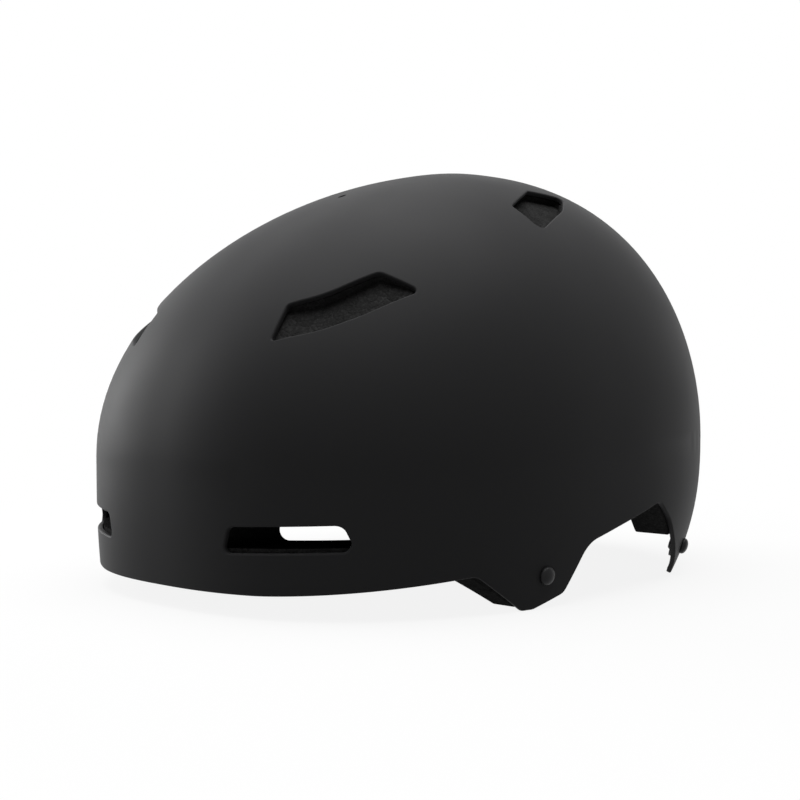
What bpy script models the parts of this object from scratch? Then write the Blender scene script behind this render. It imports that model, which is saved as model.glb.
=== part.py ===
"""Hard-shell sports helmet: vented shell, foam liner, comfort pads and a dial fit cradle.

Metres, +Z up. The wearer looks along -Y and the wearer's left is +X. The origin is on the
surface the helmet stands on, under the middle of its length and width.
"""

import math

import bmesh
import bpy
from mathutils import Matrix, Vector

# Shell form
SHELL_HALF_WIDTH = 0.109
SHELL_HALF_LENGTH = 0.1383
SHELL_WALL = 0.002
CROWN_RISE = 0.1187
CROWN_SET_BACK = 0.0257
EQUATOR_HEIGHT = 0.0433
WALL_DEPTH_FRONT = 0.190
WALL_DEPTH_REAR = 0.0777
PLAN_POWER_FRONT = 2.51
PLAN_POWER_REAR = 2.26
CROWN_POWER = 1.985
WALL_POWER = 2.53
LENGTHWISE_TILT = 0.03
TAB_DROP = 0.0129
CLEARANCE = 0.0003

# Lower edges in side view: length along Y, height above the brow plane, corner radius
SHELL_RIM = (
    (-0.1500, -0.0053, 0.0),
    (-0.1300, -0.0048, 0.030),
    (-0.0737, 0.0012, 0.007),
    (-0.0534, -TAB_DROP, 0.002),
    (-0.0478, -TAB_DROP, 0.002),
    (-0.0327, -0.0084, 0.005),
    (-0.0210, 0.0090, 0.014),
    (0.0282, 0.0214, 0.007),
    (0.0393, 0.0130, 0.016),
    (0.0633, -TAB_DROP, 0.002),
    (0.0698, -TAB_DROP, 0.002),
    (0.0868, -0.0016, 0.012),
    (0.0998, -0.0016, 0.012),
    (0.1218, 0.0056, 0.016),
    (0.1293, 0.0170, 0.004),
    (0.1600, 0.0170, 0.0),
)
LINER_RISE = 0.0016
LINER_RIM = (
    (-0.1500, -0.0037, 0.0),
    (-0.1300, -0.0032, 0.030),
    (-0.0767, 0.0022, 0.007),
    (-0.0556, -TAB_DROP + LINER_RISE, 0.003),
    (-0.0490, -TAB_DROP + LINER_RISE, 0.003),
    (-0.0345, -0.0066, 0.005),
    (-0.0226, 0.0106, 0.012),
    (0.0270, 0.0232, 0.008),
    (0.0425, 0.0060, 0.005),
    (0.0628, 0.0078, 0.010),
    (0.0998, 0.0030, 0.016),
    (0.1218, 0.0086, 0.010),
    (0.1293, 0.0190, 0.004),
    (0.1600, 0.0190, 0.0),
)

# Vents: brow and rear in front view, the others in a frame on the shell
BROW_VENT = (
    (0.0340, 0.0094, 0.0020),
    (0.0742, 0.0112, 0.0016),
    (0.0756, 0.0140, 0.0016),
    (0.0735, 0.0203, 0.0030),
    (0.0366, 0.0187, 0.0030),
)
BROW_DUCT_MARGIN = 0.0022
BROW_DUCT_INWARD = 0.0046
BROW_DUCT_SILL = 0.0014
BROW_DUCT_END = -0.080
REAR_VENT = (
    (0.0220, 0.0500, 0.0030),
    (0.0580, 0.0560, 0.0030),
    (0.0560, 0.0660, 0.0030),
    (0.0240, 0.0610, 0.0030),
)
UPPER_VENT_CENTRE = Vector((0.0574, -0.0987, 0.0958))
UPPER_VENT_NORMAL = Vector((0.433, -0.641, 0.634))
UPPER_VENT_LENGTHWISE = Vector((0.610, 0.726, 0.318))
UPPER_VENT = (
    (-0.0287, -0.0035, 0.0010),
    (-0.0187, 0.0094, 0.0018),
    (-0.0050, 0.0063, 0.0500),
    (0.0163, 0.0100, 0.0030),
    (0.0276, -0.0026, 0.0018),
    (0.0040, -0.0083, 0.0600),
    (-0.0120, -0.0086, 0.0400),
)
TOP_VENT_CENTRE = Vector((0.0601, 0.0117, 0.1408))
TOP_VENT_NORMAL = Vector((0.585, -0.019, 0.810))
TOP_VENT_LENGTHWISE = Vector((0.409, -0.856, -0.316))
TOP_VENT = (
    (0.0180, -0.0098, 0.0012),
    (-0.0138, -0.0103, 0.0024),
    (-0.0312, 0.0031, 0.0020),
    (-0.0100, 0.0071, 0.0300),
    (0.0250, 0.0061, 0.0034),
)
VENT_POCKET_DEPTH = 0.0086
CUT_REACH = 0.025

# Head cavity in the liner
LINER_SIDE = 0.0270
LINER_FRONT = 0.0303
LINER_REAR = 0.0323
LINER_CROWN = 0.0295
MOUTH_WALL_SIDE = 0.0120
MOUTH_WALL_FRONT = 0.0233
MOUTH_TOP = 0.004
CAVITY_EQUATOR = 0.045
CAVITY_SET_BACK = 0.016
CAVITY_POWER = 2.3
CAVITY_CROWN_POWER = 2.1
CAVITY_DEPTH = 0.100
CAVITY_FLARE = 0.008
FLARE_TOP = 0.056
FLARE_FULL = 0.045
FLARE_BEGINS = -0.75
FLARE_BLEND = 0.5

# Strap rivets: place on the shell in side view
FRONT_RIVET_Y = -0.0435
REAR_RIVET_Y = 0.0663
RIVET_HEIGHT = -0.0008
RIVET_HEAD_RADIUS = 0.0034
RIVET_HEAD_HEIGHT = 0.0022
RIVET_HEAD_DOME = ((0.0, 1.0), (0.55, 0.92), (0.85, 0.68), (1.0, 0.30), (1.0, 0.0))
RIVET_SHANK_RADIUS = 0.0020
WASHER_RADIUS = 0.0058
WASHER_THICKNESS = 0.0010
WASHER_SEAT_GAP = 0.0011
UPSET_THICKNESS = 0.0010
UPSET_TAPER = 0.9
WASHER_POCKET_RADIUS = 0.0072
WASHER_POCKET_DEPTH = 0.0070

# Crown push pin
LINER_PIN_Y = -0.0455
LINER_PIN_RADIUS = 0.0014
LINER_PIN_LENGTH = 0.012
LINER_PIN_RECESS = 0.0005
LINER_PIN_TAPER_START = 0.7
LINER_PIN_TIP = 0.4

# Comfort pads and their hook patches
PAD_THICKNESS = 0.006
PATCH_THICKNESS = 0.0012
PATCH_RADIUS = 0.011
BROW_PAD_HALF_WIDTH = 0.060
BROW_PAD_LOW = 0.026
BROW_PAD_HIGH = 0.046
CROWN_PAD_HALF_WIDTH = 0.030
CROWN_PAD_FRONT = -0.032
CROWN_PAD_REAR = 0.062
SIDE_PAD_FRONT = -0.036
SIDE_PAD_REAR = 0.030
SIDE_PAD_LOW = 0.056
SIDE_PAD_HIGH = 0.086
REAR_PAD_HALF_WIDTH = 0.038
REAR_PAD_LOW = 0.058
REAR_PAD_HIGH = 0.084
PAD_CORNER = 0.009
CROWN_PAD_CORNER = 0.018

# Fit yoke: band, temple pivots and gear tray
PIVOT_Y = -0.0072
PIVOT_HEIGHT = 0.027
BAND_GAP = 0.0016
BAND_THICKNESS = 0.0018
BAND_LOW = 0.013
BAND_HIGH = 0.024
EYELET_RADIUS = 0.007
EYELET_THICKNESS = 0.0024
PIN_RADIUS = 0.0025
PIN_HEAD_RADIUS = 0.0045
PIN_HEAD_THICKNESS = 0.0018
PIN_HEAD_TOP = 0.8
PIN_HEAD_EDGE = 0.4
PIN_END_GAP = 0.0012
SOCKET_RADIUS = 0.0055
SOCKET_COVER = 0.0073
SOCKET_FLOOR = 0.0013
TRAY_HALF_WIDTH = 0.024
TRAY_WALL = 0.0018
TRAY_DEPTH = 0.0135
TRAY_SET_IN = 0.0065
TRAY_BACK_PLATE = 0.0035
TRAY_CORNER = 0.004
TRAY_EAR_HALF_WIDTH = 0.0336
TRAY_EAR_MARGIN = 0.001
TRAY_EAR_SET_IN = 0.0005
COVER_THICKNESS = 0.0015
NAPE_PAD_THICKNESS = 0.005
NAPE_PAD_MARGIN = 0.002
NOTCH_HALF_WIDTH = 0.037
NOTCH_CORNER = 0.012
NOTCH_HEIGHT = 0.042
NOTCH_LEAD = 0.004

# Rack and pinion of the fit dial
GEAR_MODULE = 0.001
GEAR_TEETH = 12
PRESSURE_ANGLE = math.radians(25.0)
TOOTH_ADDENDUM = 0.0009
TOOTH_DEDENDUM = 0.00115
TOOTH_BACKLASH = 0.0002
GEAR_HEIGHT = 0.013
GEAR_SET_BACK = 0.0010
GEAR_WIDTH = 0.0040
RACK_BACK = 0.0032
RACK_INNER_X = -0.0090
RACK_TEETH = 11
RACK_LEAD = 0.0005
SHAFT_RADIUS = 0.0030
SHAFT_STAND_OUT = 0.0060
BOSS_RADIUS = 0.0050
JOIN_OVERLAP = 0.001
DIAL_RADIUS = 0.015
DIAL_FLUTES = 12
DIAL_FLUTE_DEPTH = 0.0010
FLUTE_POINTS = 5
DIAL_GAP = 0.0005
DIAL_DEPTH = 0.0100
DIAL_SOCKET_DEPTH = 0.0060
SCREW_HEAD_RADIUS = 0.0040
SCREW_HEAD_HEIGHT = 0.0016
SCREW_SHANK_RADIUS = 0.0015
SCREW_LENGTH = 0.0080
SCREW_HEAD_TOP = 0.8
SCREW_HEAD_EDGE = 0.5
SCREW_SINK = 0.0032

# Nape wings on the racks
WING_INSET = 0.0105
WING_THICKNESS = 0.0022
WING_LOW = 0.009
WING_HIGH = 0.027
WING_INNER_X = 0.0375
WING_ROOT_WIDTH = 0.006
WING_ROOT_FORWARD = 0.004
WING_ROOT_MARGIN = 0.002
WING_ROOT_CORNER = 0.0015
WING_ROOT_SET_IN = 0.0002
WING_OUTER_X = 0.068
WING_CORNER = 0.005
WING_TRIM = 0.001
WING_PAD_THICKNESS = 0.005
WING_PAD_MARGIN = 0.0015

# Facets
DOME_SEGMENTS = 40
DOME_RINGS = 20
CAVITY_SEGMENTS = 32
CAVITY_RINGS = 16
SKIRT_LATITUDE = math.radians(-44.0)
ROUND_STEPS = 14
EYELET_STEPS = 24
BORE_STEPS = 12
SCREW_STEPS = 16
OVAL_POINTS = 64
ARC_STEP = math.radians(30.0)
SHARP_ANGLE = math.radians(35.0)
STRAIGHT_TURN = 0.01
SETBACK_LIMIT = 0.49
POLE = 1e-6
SOLVE_STEPS = 50
WELD = 0.000002

BROW_HEIGHT = TAB_DROP
CAVITY_HALF_WIDTH = SHELL_HALF_WIDTH - LINER_SIDE
CAVITY_FRONT = SHELL_HALF_LENGTH - LINER_FRONT
CAVITY_REAR = SHELL_HALF_LENGTH - LINER_REAR
CAVITY_RISE = EQUATOR_HEIGHT + CROWN_RISE - LINER_CROWN - CAVITY_EQUATOR
TRAY_BACK_Y = CAVITY_REAR + CAVITY_FLARE - TRAY_SET_IN
TRAY_FRONT_Y = TRAY_BACK_Y - TRAY_DEPTH
NOTCH_FRONT_Y = TRAY_FRONT_Y - NOTCH_LEAD
GEAR_FRONT_Y = TRAY_FRONT_Y + GEAR_SET_BACK
SHAFT_END_Y = TRAY_BACK_Y + SHAFT_STAND_OUT
DIAL_FRONT_Y = TRAY_BACK_Y + DIAL_GAP
REACH = 2 * SHELL_HALF_LENGTH
BLACK_SHELL = ("matte_black_shell", (0.018, 0.018, 0.019), 0.55, 0.0)
BLACK_FOAM = ("black_foam", (0.020, 0.020, 0.021), 0.90, 0.0)
BLACK_METAL = ("black_rivet", (0.030, 0.030, 0.032), 0.35, 0.6)
BLACK_PLASTIC = ("black_plastic", (0.022, 0.022, 0.024), 0.45, 0.0)
PAD_FABRIC = ("pad_fabric", (0.040, 0.040, 0.043), 0.95, 0.0)
HOOK_TAPE = ("hook_tape", (0.030, 0.030, 0.030), 0.85, 0.0)


def clear_scene():
    for item in list(bpy.data.objects):
        bpy.data.objects.remove(item, do_unlink=True)


def new_collection(name):
    collection = bpy.data.collections.new(name)
    bpy.context.scene.collection.children.link(collection)
    return collection


clear_scene()
PARTS = new_collection("helmet")
CUTTERS = new_collection("cutters")
PARENTS = {}


def material(finish):
    name, colour, roughness, metallic = finish
    shader = bpy.data.materials.new(name)
    shader.use_nodes = True
    socket = shader.node_tree.nodes["Principled BSDF"].inputs
    socket["Base Color"].default_value = (*colour, 1.0)
    socket["Roughness"].default_value = roughness
    socket["Metallic"].default_value = metallic
    return shader


def solid_from(bm, name):
    """Put a closed bmesh, in world coordinates, into an object among the cutters."""
    bmesh.ops.recalc_face_normals(bm, faces=bm.faces[:])
    if bm.calc_volume(signed=True) < 0.0:
        bmesh.ops.reverse_faces(bm, faces=bm.faces[:])
    mesh = bpy.data.meshes.new(name)
    bm.to_mesh(mesh)
    bm.free()
    item = bpy.data.objects.new(name, mesh)
    CUTTERS.objects.link(item)
    item.hide_render = True
    item.display_type = "WIRE"
    return item


def as_part(item, finish, parent=None):
    """Turn a solid into a named part with its own material."""
    CUTTERS.objects.unlink(item)
    PARTS.objects.link(item)
    item.hide_render = False
    item.display_type = "TEXTURED"
    item.data.materials.append(material(finish))
    item.data.shade_smooth()
    item.data.set_sharp_from_angle(angle=SHARP_ANGLE)
    if parent:
        item.parent = PARENTS[parent]
        item.matrix_parent_inverse = PARENTS[parent].matrix_world.inverted()
    return item


def joint_empty(name, place, parent=None):
    """An empty on a joint's axis, which carries the pieces that move with it."""
    empty = bpy.data.objects.new(name, None)
    PARTS.objects.link(empty)
    empty.matrix_world = Matrix.Translation(place)
    if parent:
        empty.parent = PARENTS[parent]
        empty.matrix_parent_inverse = PARENTS[parent].matrix_world.inverted()
    bpy.context.view_layer.update()
    PARENTS[name] = empty


def boolean(item, other, operation):
    step = item.modifiers.new(operation.lower(), "BOOLEAN")
    step.operation = operation
    step.solver = "EXACT"
    step.object = other


def cut(item, *cutters):
    for cutter in cutters:
        boolean(item, cutter, "DIFFERENCE")


def join(item, *others):
    for other in others:
        boolean(item, other, "UNION")


def keep_inside(item, other):
    boolean(item, other, "INTERSECT")


def signed_power(value, power):
    return math.copysign(abs(value) ** power, value)


def smooth_step(value):
    value = min(max(value, 0.0), 1.0)
    return value * value * (3.0 - 2.0 * value)


def rounded(corners):
    """Flat outline through corners (x, y, radius), with an arc at each rounded corner."""
    points = []
    count = len(corners)
    for index, (x, y, radius) in enumerate(corners):
        here = Vector((x, y))
        before = Vector(corners[index - 1][:2]) - here
        after = Vector(corners[(index + 1) % count][:2]) - here
        turn = math.pi - before.angle(after)
        if radius <= 0.0 or turn < STRAIGHT_TURN:
            points.append(here)
            continue
        room = SETBACK_LIMIT * min(before.length, after.length)
        setback = min(radius * math.tan(turn / 2), room)
        radius = setback / math.tan(turn / 2)
        start = here + before.normalized() * setback
        centre_way = (before.normalized() + after.normalized()).normalized()
        centre = here + centre_way * (radius / math.cos(turn / 2))
        side = 1.0 if before.cross(after) < 0.0 else -1.0
        steps = max(1, math.ceil(turn / ARC_STEP))
        for step in range(steps + 1):
            spin = Matrix.Rotation(side * turn * step / steps, 2)
            points.append(centre + spin @ (start - centre))
    return [(point.x, point.y) for point in points]


def prism(name, outline, near, far, frame):
    """Closed prism on a flat outline, between two depths along the frame's third axis."""
    bm = bmesh.new()
    floor = bm.faces.new([bm.verts.new((x, y, near)) for x, y in outline])
    copy = bmesh.ops.extrude_face_region(bm, geom=[floor])["geom"]
    top = [item for item in copy if isinstance(item, bmesh.types.BMVert)]
    bmesh.ops.translate(bm, vec=(0.0, 0.0, far - near), verts=top)
    bm.transform(frame)
    return solid_from(bm, name)


def axes_frame(x_axis, y_axis, z_axis, origin=(0.0, 0.0, 0.0)):
    frame = Matrix((x_axis, y_axis, z_axis)).transposed().to_4x4()
    frame.translation = Vector(origin)
    return frame


ALONG_X = axes_frame((0, 1, 0), (0, 0, 1), (1, 0, 0))
ALONG_MINUS_Y = axes_frame((1, 0, 0), (0, 0, 1), (0, -1, 0))
ALONG_Z = axes_frame((1, 0, 0), (0, 1, 0), (0, 0, 1))


def raised(corners):
    """Corners given from the brow plane, in heights above the ground."""
    return [(x, height + BROW_HEIGHT, radius) for x, height, radius in corners]


def mirrored(corners, side):
    """Corners for the left side as they are, and turned over for the right side."""
    if side > 0:
        return list(corners)
    return [(-x, y, radius) for x, y, radius in reversed(corners)]


def slab_x(name, outline, low, high):
    return prism(name, outline, low, high, ALONG_X)


def slab_y(name, outline, low, high):
    return prism(name, outline, -high, -low, ALONG_MINUS_Y)


def slab_z(name, outline, low, high):
    return prism(name, outline, low, high, ALONG_Z)


def box_outline(x_low, x_high, y_low, y_high, radius=0.0):
    return rounded(((x_low, y_low, radius), (x_high, y_low, radius),
                    (x_high, y_high, radius), (x_low, y_high, radius)))


def axis_frame(place, axis):
    turn = Vector((0, 0, 1)).rotation_difference(Vector(axis).normalized())
    return Matrix.Translation(place) @ turn.to_matrix().to_4x4()


def turned(name, profile, place, axis, steps=ROUND_STEPS):
    """Solid of revolution: profile of (radius, height) from one end of the axis to the other."""
    bm = bmesh.new()
    points = [bm.verts.new((radius, 0.0, height)) for radius, height in profile]
    edges = [bm.edges.new(pair) for pair in zip(points, points[1:])]
    bmesh.ops.spin(bm, geom=points + edges, cent=(0, 0, 0), axis=(0, 0, 1),
                   angle=2 * math.pi, steps=steps, use_merge=True)
    bmesh.ops.remove_doubles(bm, verts=bm.verts[:], dist=WELD)
    bm.transform(axis_frame(place, axis))
    return solid_from(bm, name)


def rod(name, radius, low, high, place, axis, steps=ROUND_STEPS):
    """Round rod between two distances along an axis through a place."""
    bm = bmesh.new()
    bmesh.ops.create_cone(bm, cap_ends=True, segments=steps, radius1=radius, radius2=radius,
                          depth=high - low)
    bm.transform(axis_frame(place, axis) @ Matrix.Translation((0, 0, (low + high) / 2)))
    return solid_from(bm, name)


def dome_point(way):
    """Point of the shell's outer surface for a direction on the unit sphere."""
    level = math.hypot(way.x, way.y)
    side, back = (way.x / level, way.y / level) if level > POLE else (0.0, 0.0)
    rearward = 0.5 * (1.0 + back)
    plan = 2.0 / (PLAN_POWER_FRONT if back < 0.0 else PLAN_POWER_REAR)
    above = way.z >= 0.0
    bend = 2.0 / (CROWN_POWER if above else WALL_POWER)
    depth = WALL_DEPTH_FRONT * (1.0 - rearward) + WALL_DEPTH_REAR * rearward
    rise = (CROWN_RISE if above else depth) * signed_power(way.z, bend)
    reach = level ** bend
    x = SHELL_HALF_WIDTH * signed_power(side, plan) * reach
    y = SHELL_HALF_LENGTH * signed_power(back, plan) * reach
    y += CROWN_SET_BACK * (max(rise, 0.0) / CROWN_RISE) ** 2
    return Vector((x, y, BROW_HEIGHT + EQUATOR_HEIGHT + rise + LENGTHWISE_TILT * y))


def wall_point(y, height):
    """Point of the left wall of the shell, below its equator, at a length and a height."""
    back = 0.0
    for _ in range(SOLVE_STEPS):
        plan = 2.0 / (PLAN_POWER_FRONT if y < 0.0 else PLAN_POWER_REAR)
        rearward = 0.5 * (1.0 + back)
        depth = WALL_DEPTH_FRONT * (1.0 - rearward) + WALL_DEPTH_REAR * rearward
        drop = EQUATOR_HEIGHT + LENGTHWISE_TILT * y - height
        reach = (1.0 - (drop / depth) ** WALL_POWER) ** (1.0 / WALL_POWER)
        back = signed_power(y / (SHELL_HALF_LENGTH * reach), 1.0 / plan)
    x = SHELL_HALF_WIDTH * reach * (1.0 - back * back) ** (plan / 2)
    return Vector((x, y, BROW_HEIGHT + height))


def wall_normal(y, height, step=0.001):
    along = wall_point(y + step, height) - wall_point(y - step, height)
    upward = wall_point(y, height + step) - wall_point(y, height - step)
    return along.cross(upward).normalized()


def crown_point(y):
    """Point of the shell's middle line at a length, and its outward normal."""
    low, high = 0.0, 1.0
    for _ in range(SOLVE_STEPS):
        middle = (low + high) / 2
        here = dome_point(Vector((0.0, -math.sqrt(1.0 - middle * middle), middle)))
        low, high = (middle, high) if here.y < y else (low, middle)
    lower = low - JOIN_OVERLAP
    along = here - dome_point(Vector((0.0, -math.sqrt(1.0 - lower * lower), lower)))
    return here, Vector((0.0, -along.z, along.y)).normalized()


def cavity_point(way, grow):
    """Point of the head cavity, grown outwards by a distance, for a direction on the sphere."""
    level = math.hypot(way.x, way.y)
    side, back = (way.x / level, way.y / level) if level > POLE else (0.0, 0.0)
    plan = 2.0 / CAVITY_POWER
    if way.z >= 0.0:
        bend = 2.0 / CAVITY_CROWN_POWER
        reach = level ** bend
        height = CAVITY_EQUATOR + (CAVITY_RISE + grow) * way.z ** bend
    else:
        latitude = math.asin(min(-way.z, 1.0)) / (math.pi / 2)
        reach = 1.0 if latitude < 0.999 else 0.0
        height = CAVITY_EQUATOR - CAVITY_DEPTH * min(latitude * CAVITY_RINGS / (CAVITY_RINGS - 2), 1.0)
    length = CAVITY_FRONT if back < 0.0 else CAVITY_REAR
    opening = smooth_step((FLARE_TOP - height) / (FLARE_TOP - FLARE_FULL))
    flare = CAVITY_FLARE * opening * smooth_step((back - FLARE_BEGINS) / FLARE_BLEND)
    x = (CAVITY_HALF_WIDTH + grow + flare) * signed_power(side, plan) * reach
    y = (length + grow + flare) * signed_power(back, plan) * reach
    y += CAVITY_SET_BACK * (max(height - CAVITY_EQUATOR, 0.0) / CAVITY_RISE) ** 2
    return Vector((x, y, BROW_HEIGHT + height))


def dome_surface(inset):
    """Open dome with a skirt below the rim, set in from the shell's outer surface."""
    bm = bmesh.new()
    bmesh.ops.create_uvsphere(bm, u_segments=DOME_SEGMENTS, v_segments=DOME_RINGS, radius=1.0)
    low = [vert for vert in bm.verts if vert.co.z < math.sin(SKIRT_LATITUDE)]
    bmesh.ops.delete(bm, geom=low, context="VERTS")
    for vert in bm.verts:
        vert.co = dome_point(vert.co.normalized())
    bm.normal_update()
    shifts = [(vert, vert.normal * inset) for vert in bm.verts]
    for vert, shift in shifts:
        vert.co -= shift
    return bm


def cavity(name, grow):
    """Head cavity as a solid, grown outwards by a distance."""
    bm = bmesh.new()
    bmesh.ops.create_uvsphere(bm, u_segments=CAVITY_SEGMENTS, v_segments=CAVITY_RINGS, radius=1.0)
    for vert in bm.verts:
        vert.co = cavity_point(vert.co.normalized(), grow)
    return solid_from(bm, name)


def plan_outline(half_width, front, rear, power):
    """Superellipse in plan with its own lengths to the front and to the rear."""
    points = []
    for index in range(OVAL_POINTS):
        angle = 2 * math.pi * index / OVAL_POINTS
        side, back = math.cos(angle), math.sin(angle)
        length = front if back < 0.0 else rear
        points.append((half_width * signed_power(side, 2.0 / power), length * signed_power(back, 2.0 / power)))
    return points


def rim_cutter(name, corners):
    """Everything below a lower edge that is given in side view."""
    first, last = corners[0], corners[-1]
    closed = list(corners) + [(last[0], -REACH, 0.0), (first[0], -REACH, 0.0)]
    return slab_x(name, rounded(raised(closed)), -REACH, REACH)


def vent_frame(centre, normal, lengthwise, side):
    """Frame on the shell with X along the vent, Z outwards, and its mirror for the right."""
    turn = Vector((side, 1.0, 1.0))
    outward = (normal * turn).normalized()
    along = lengthwise * turn
    along = (along - outward * along.dot(outward)).normalized()
    across = outward.cross(along)
    place = centre * turn + Vector((0.0, 0.0, BROW_HEIGHT))
    return axes_frame(along, across, outward, place)


def surface_vent(name, corners, centre, normal, lengthwise, side):
    outline = corners if side > 0 else [(x, -y, radius) for x, y, radius in reversed(corners)]
    frame = vent_frame(centre, normal, lengthwise, side)
    return prism(name, rounded(outline), -VENT_POCKET_DEPTH, CUT_REACH, frame)


def duct_corners(corners):
    """A brow outline wider at the top and the ends, most towards the middle, above a sill."""
    middle_x = sum(corner[0] for corner in corners) / len(corners)
    middle_y = sum(corner[1] for corner in corners) / len(corners)
    wider = []
    for x, y, radius in corners:
        more = BROW_DUCT_MARGIN if x > middle_x else -BROW_DUCT_MARGIN - BROW_DUCT_INWARD
        higher = BROW_DUCT_MARGIN if y > middle_y else BROW_DUCT_SILL
        wider.append((x + more, y + higher, radius + BROW_DUCT_MARGIN))
    return wider


def vent_cutters():
    """Cutters of the vents: through the shell, into the liner, and right through the liner."""
    shared, shell_only, liner_only = [], [], []
    for side, label in ((1, "left"), (-1, "right")):
        shared.append(surface_vent("upper_vent_" + label, UPPER_VENT, UPPER_VENT_CENTRE,
                                   UPPER_VENT_NORMAL, UPPER_VENT_LENGTHWISE, side))
        shell_only.append(surface_vent("top_vent_" + label, TOP_VENT, TOP_VENT_CENTRE,
                                       TOP_VENT_NORMAL, TOP_VENT_LENGTHWISE, side))
        brow = rounded(raised(mirrored(BROW_VENT, side)))
        shell_only.append(slab_y("brow_vent_" + label, brow, -REACH, BROW_DUCT_END))
        duct = rounded(raised(mirrored(duct_corners(BROW_VENT), side)))
        liner_only.append(slab_y("brow_duct_" + label, duct, -REACH, BROW_DUCT_END))
        rear = rounded(raised(mirrored(REAR_VENT, side)))
        shared.append(slab_y("rear_vent_" + label, rear, 0.0, REACH))
    return shared, shell_only, liner_only


def rivet_places():
    for end, y in (("front", FRONT_RIVET_Y), ("rear", REAR_RIVET_Y)):
        left = wall_point(y, RIVET_HEIGHT)
        normal = wall_normal(y, RIVET_HEIGHT)
        for side, label in ((1, "left"), (-1, "right")):
            turn = Vector((side, 1.0, 1.0))
            yield end, label, left * turn, normal * turn


def build_rivets(shell, liner):
    hole = RIVET_SHANK_RADIUS + CLEARANCE
    washer_top = -SHELL_WALL - WASHER_SEAT_GAP
    washer_back = washer_top - WASHER_THICKNESS
    upset_top = washer_back - CLEARANCE
    upset_back = upset_top - UPSET_THICKNESS
    head = [(RIVET_HEAD_RADIUS * radius, CLEARANCE + RIVET_HEAD_HEIGHT * height)
            for radius, height in RIVET_HEAD_DOME]
    rivet_profile = head + [
        (RIVET_SHANK_RADIUS, CLEARANCE),
        (RIVET_SHANK_RADIUS, upset_top),
        (RIVET_HEAD_RADIUS, upset_top),
        (UPSET_TAPER * RIVET_HEAD_RADIUS, upset_back),
        (0.0, upset_back),
    ]
    washer_profile = (
        (hole, washer_top),
        (WASHER_RADIUS, washer_top),
        (WASHER_RADIUS, washer_back),
        (hole, washer_back),
        (hole, washer_top),
    )
    for end, label, place, normal in rivet_places():
        tag = end + "_" + label
        cut(shell, rod("rivet_hole_" + tag, hole, -CUT_REACH / 2, CUT_REACH / 2, place, normal))
        as_part(turned("strap_rivet_" + tag, rivet_profile, place, normal), BLACK_METAL)
        as_part(turned("rivet_washer_" + tag, washer_profile, place, normal), BLACK_METAL)
        if end == "front":
            cut(liner, rod("washer_pocket_" + tag, WASHER_POCKET_RADIUS, -WASHER_POCKET_DEPTH,
                           CUT_REACH / 2, place, normal))


def build_liner_pin(shell, liner):
    place, normal = crown_point(LINER_PIN_Y)
    tip = -LINER_PIN_RECESS - LINER_PIN_LENGTH
    profile = (
        (0.0, -LINER_PIN_RECESS),
        (LINER_PIN_RADIUS, -LINER_PIN_RECESS),
        (LINER_PIN_RADIUS, LINER_PIN_TAPER_START * tip),
        (LINER_PIN_TIP * LINER_PIN_RADIUS, tip),
        (0.0, tip),
    )
    hole = rod("pin_hole", LINER_PIN_RADIUS + CLEARANCE, tip - CLEARANCE, CUT_REACH, place, normal)
    cut(shell, hole)
    cut(liner, hole)
    as_part(turned("liner_pin", profile, place, normal), BLACK_PLASTIC)


def build_shell():
    bm = dome_surface(0.0)
    mesh = bpy.data.meshes.new("outer_shell")
    bm.to_mesh(mesh)
    bm.free()
    shell = bpy.data.objects.new("outer_shell", mesh)
    CUTTERS.objects.link(shell)
    wall = shell.modifiers.new("wall", "SOLIDIFY")
    wall.thickness = SHELL_WALL
    wall.offset = -1.0
    cut(shell, rim_cutter("shell_rim", SHELL_RIM))
    return shell


def build_liner():
    bm = dome_surface(SHELL_WALL + CLEARANCE)
    bmesh.ops.holes_fill(bm, edges=[edge for edge in bm.edges if edge.is_boundary])
    liner = solid_from(bm, "eps_liner")
    mouth = plan_outline(SHELL_HALF_WIDTH - MOUTH_WALL_SIDE, SHELL_HALF_LENGTH - MOUTH_WALL_FRONT,
                         CAVITY_REAR, PLAN_POWER_FRONT)
    cut(liner, cavity("head_cavity", 0.0), rim_cutter("liner_rim", LINER_RIM))
    cut(liner, slab_z("liner_mouth", mouth, -REACH, BROW_HEIGHT + MOUTH_TOP))
    notch = rounded(raised((
        (-NOTCH_HALF_WIDTH, -NOTCH_HEIGHT, 0.0),
        (NOTCH_HALF_WIDTH, -NOTCH_HEIGHT, 0.0),
        (NOTCH_HALF_WIDTH, NOTCH_HEIGHT, NOTCH_CORNER),
        (-NOTCH_HALF_WIDTH, NOTCH_HEIGHT, NOTCH_CORNER),
    )))
    cut(liner, slab_y("dial_notch", notch, NOTCH_FRONT_Y, REACH))
    return liner


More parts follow.
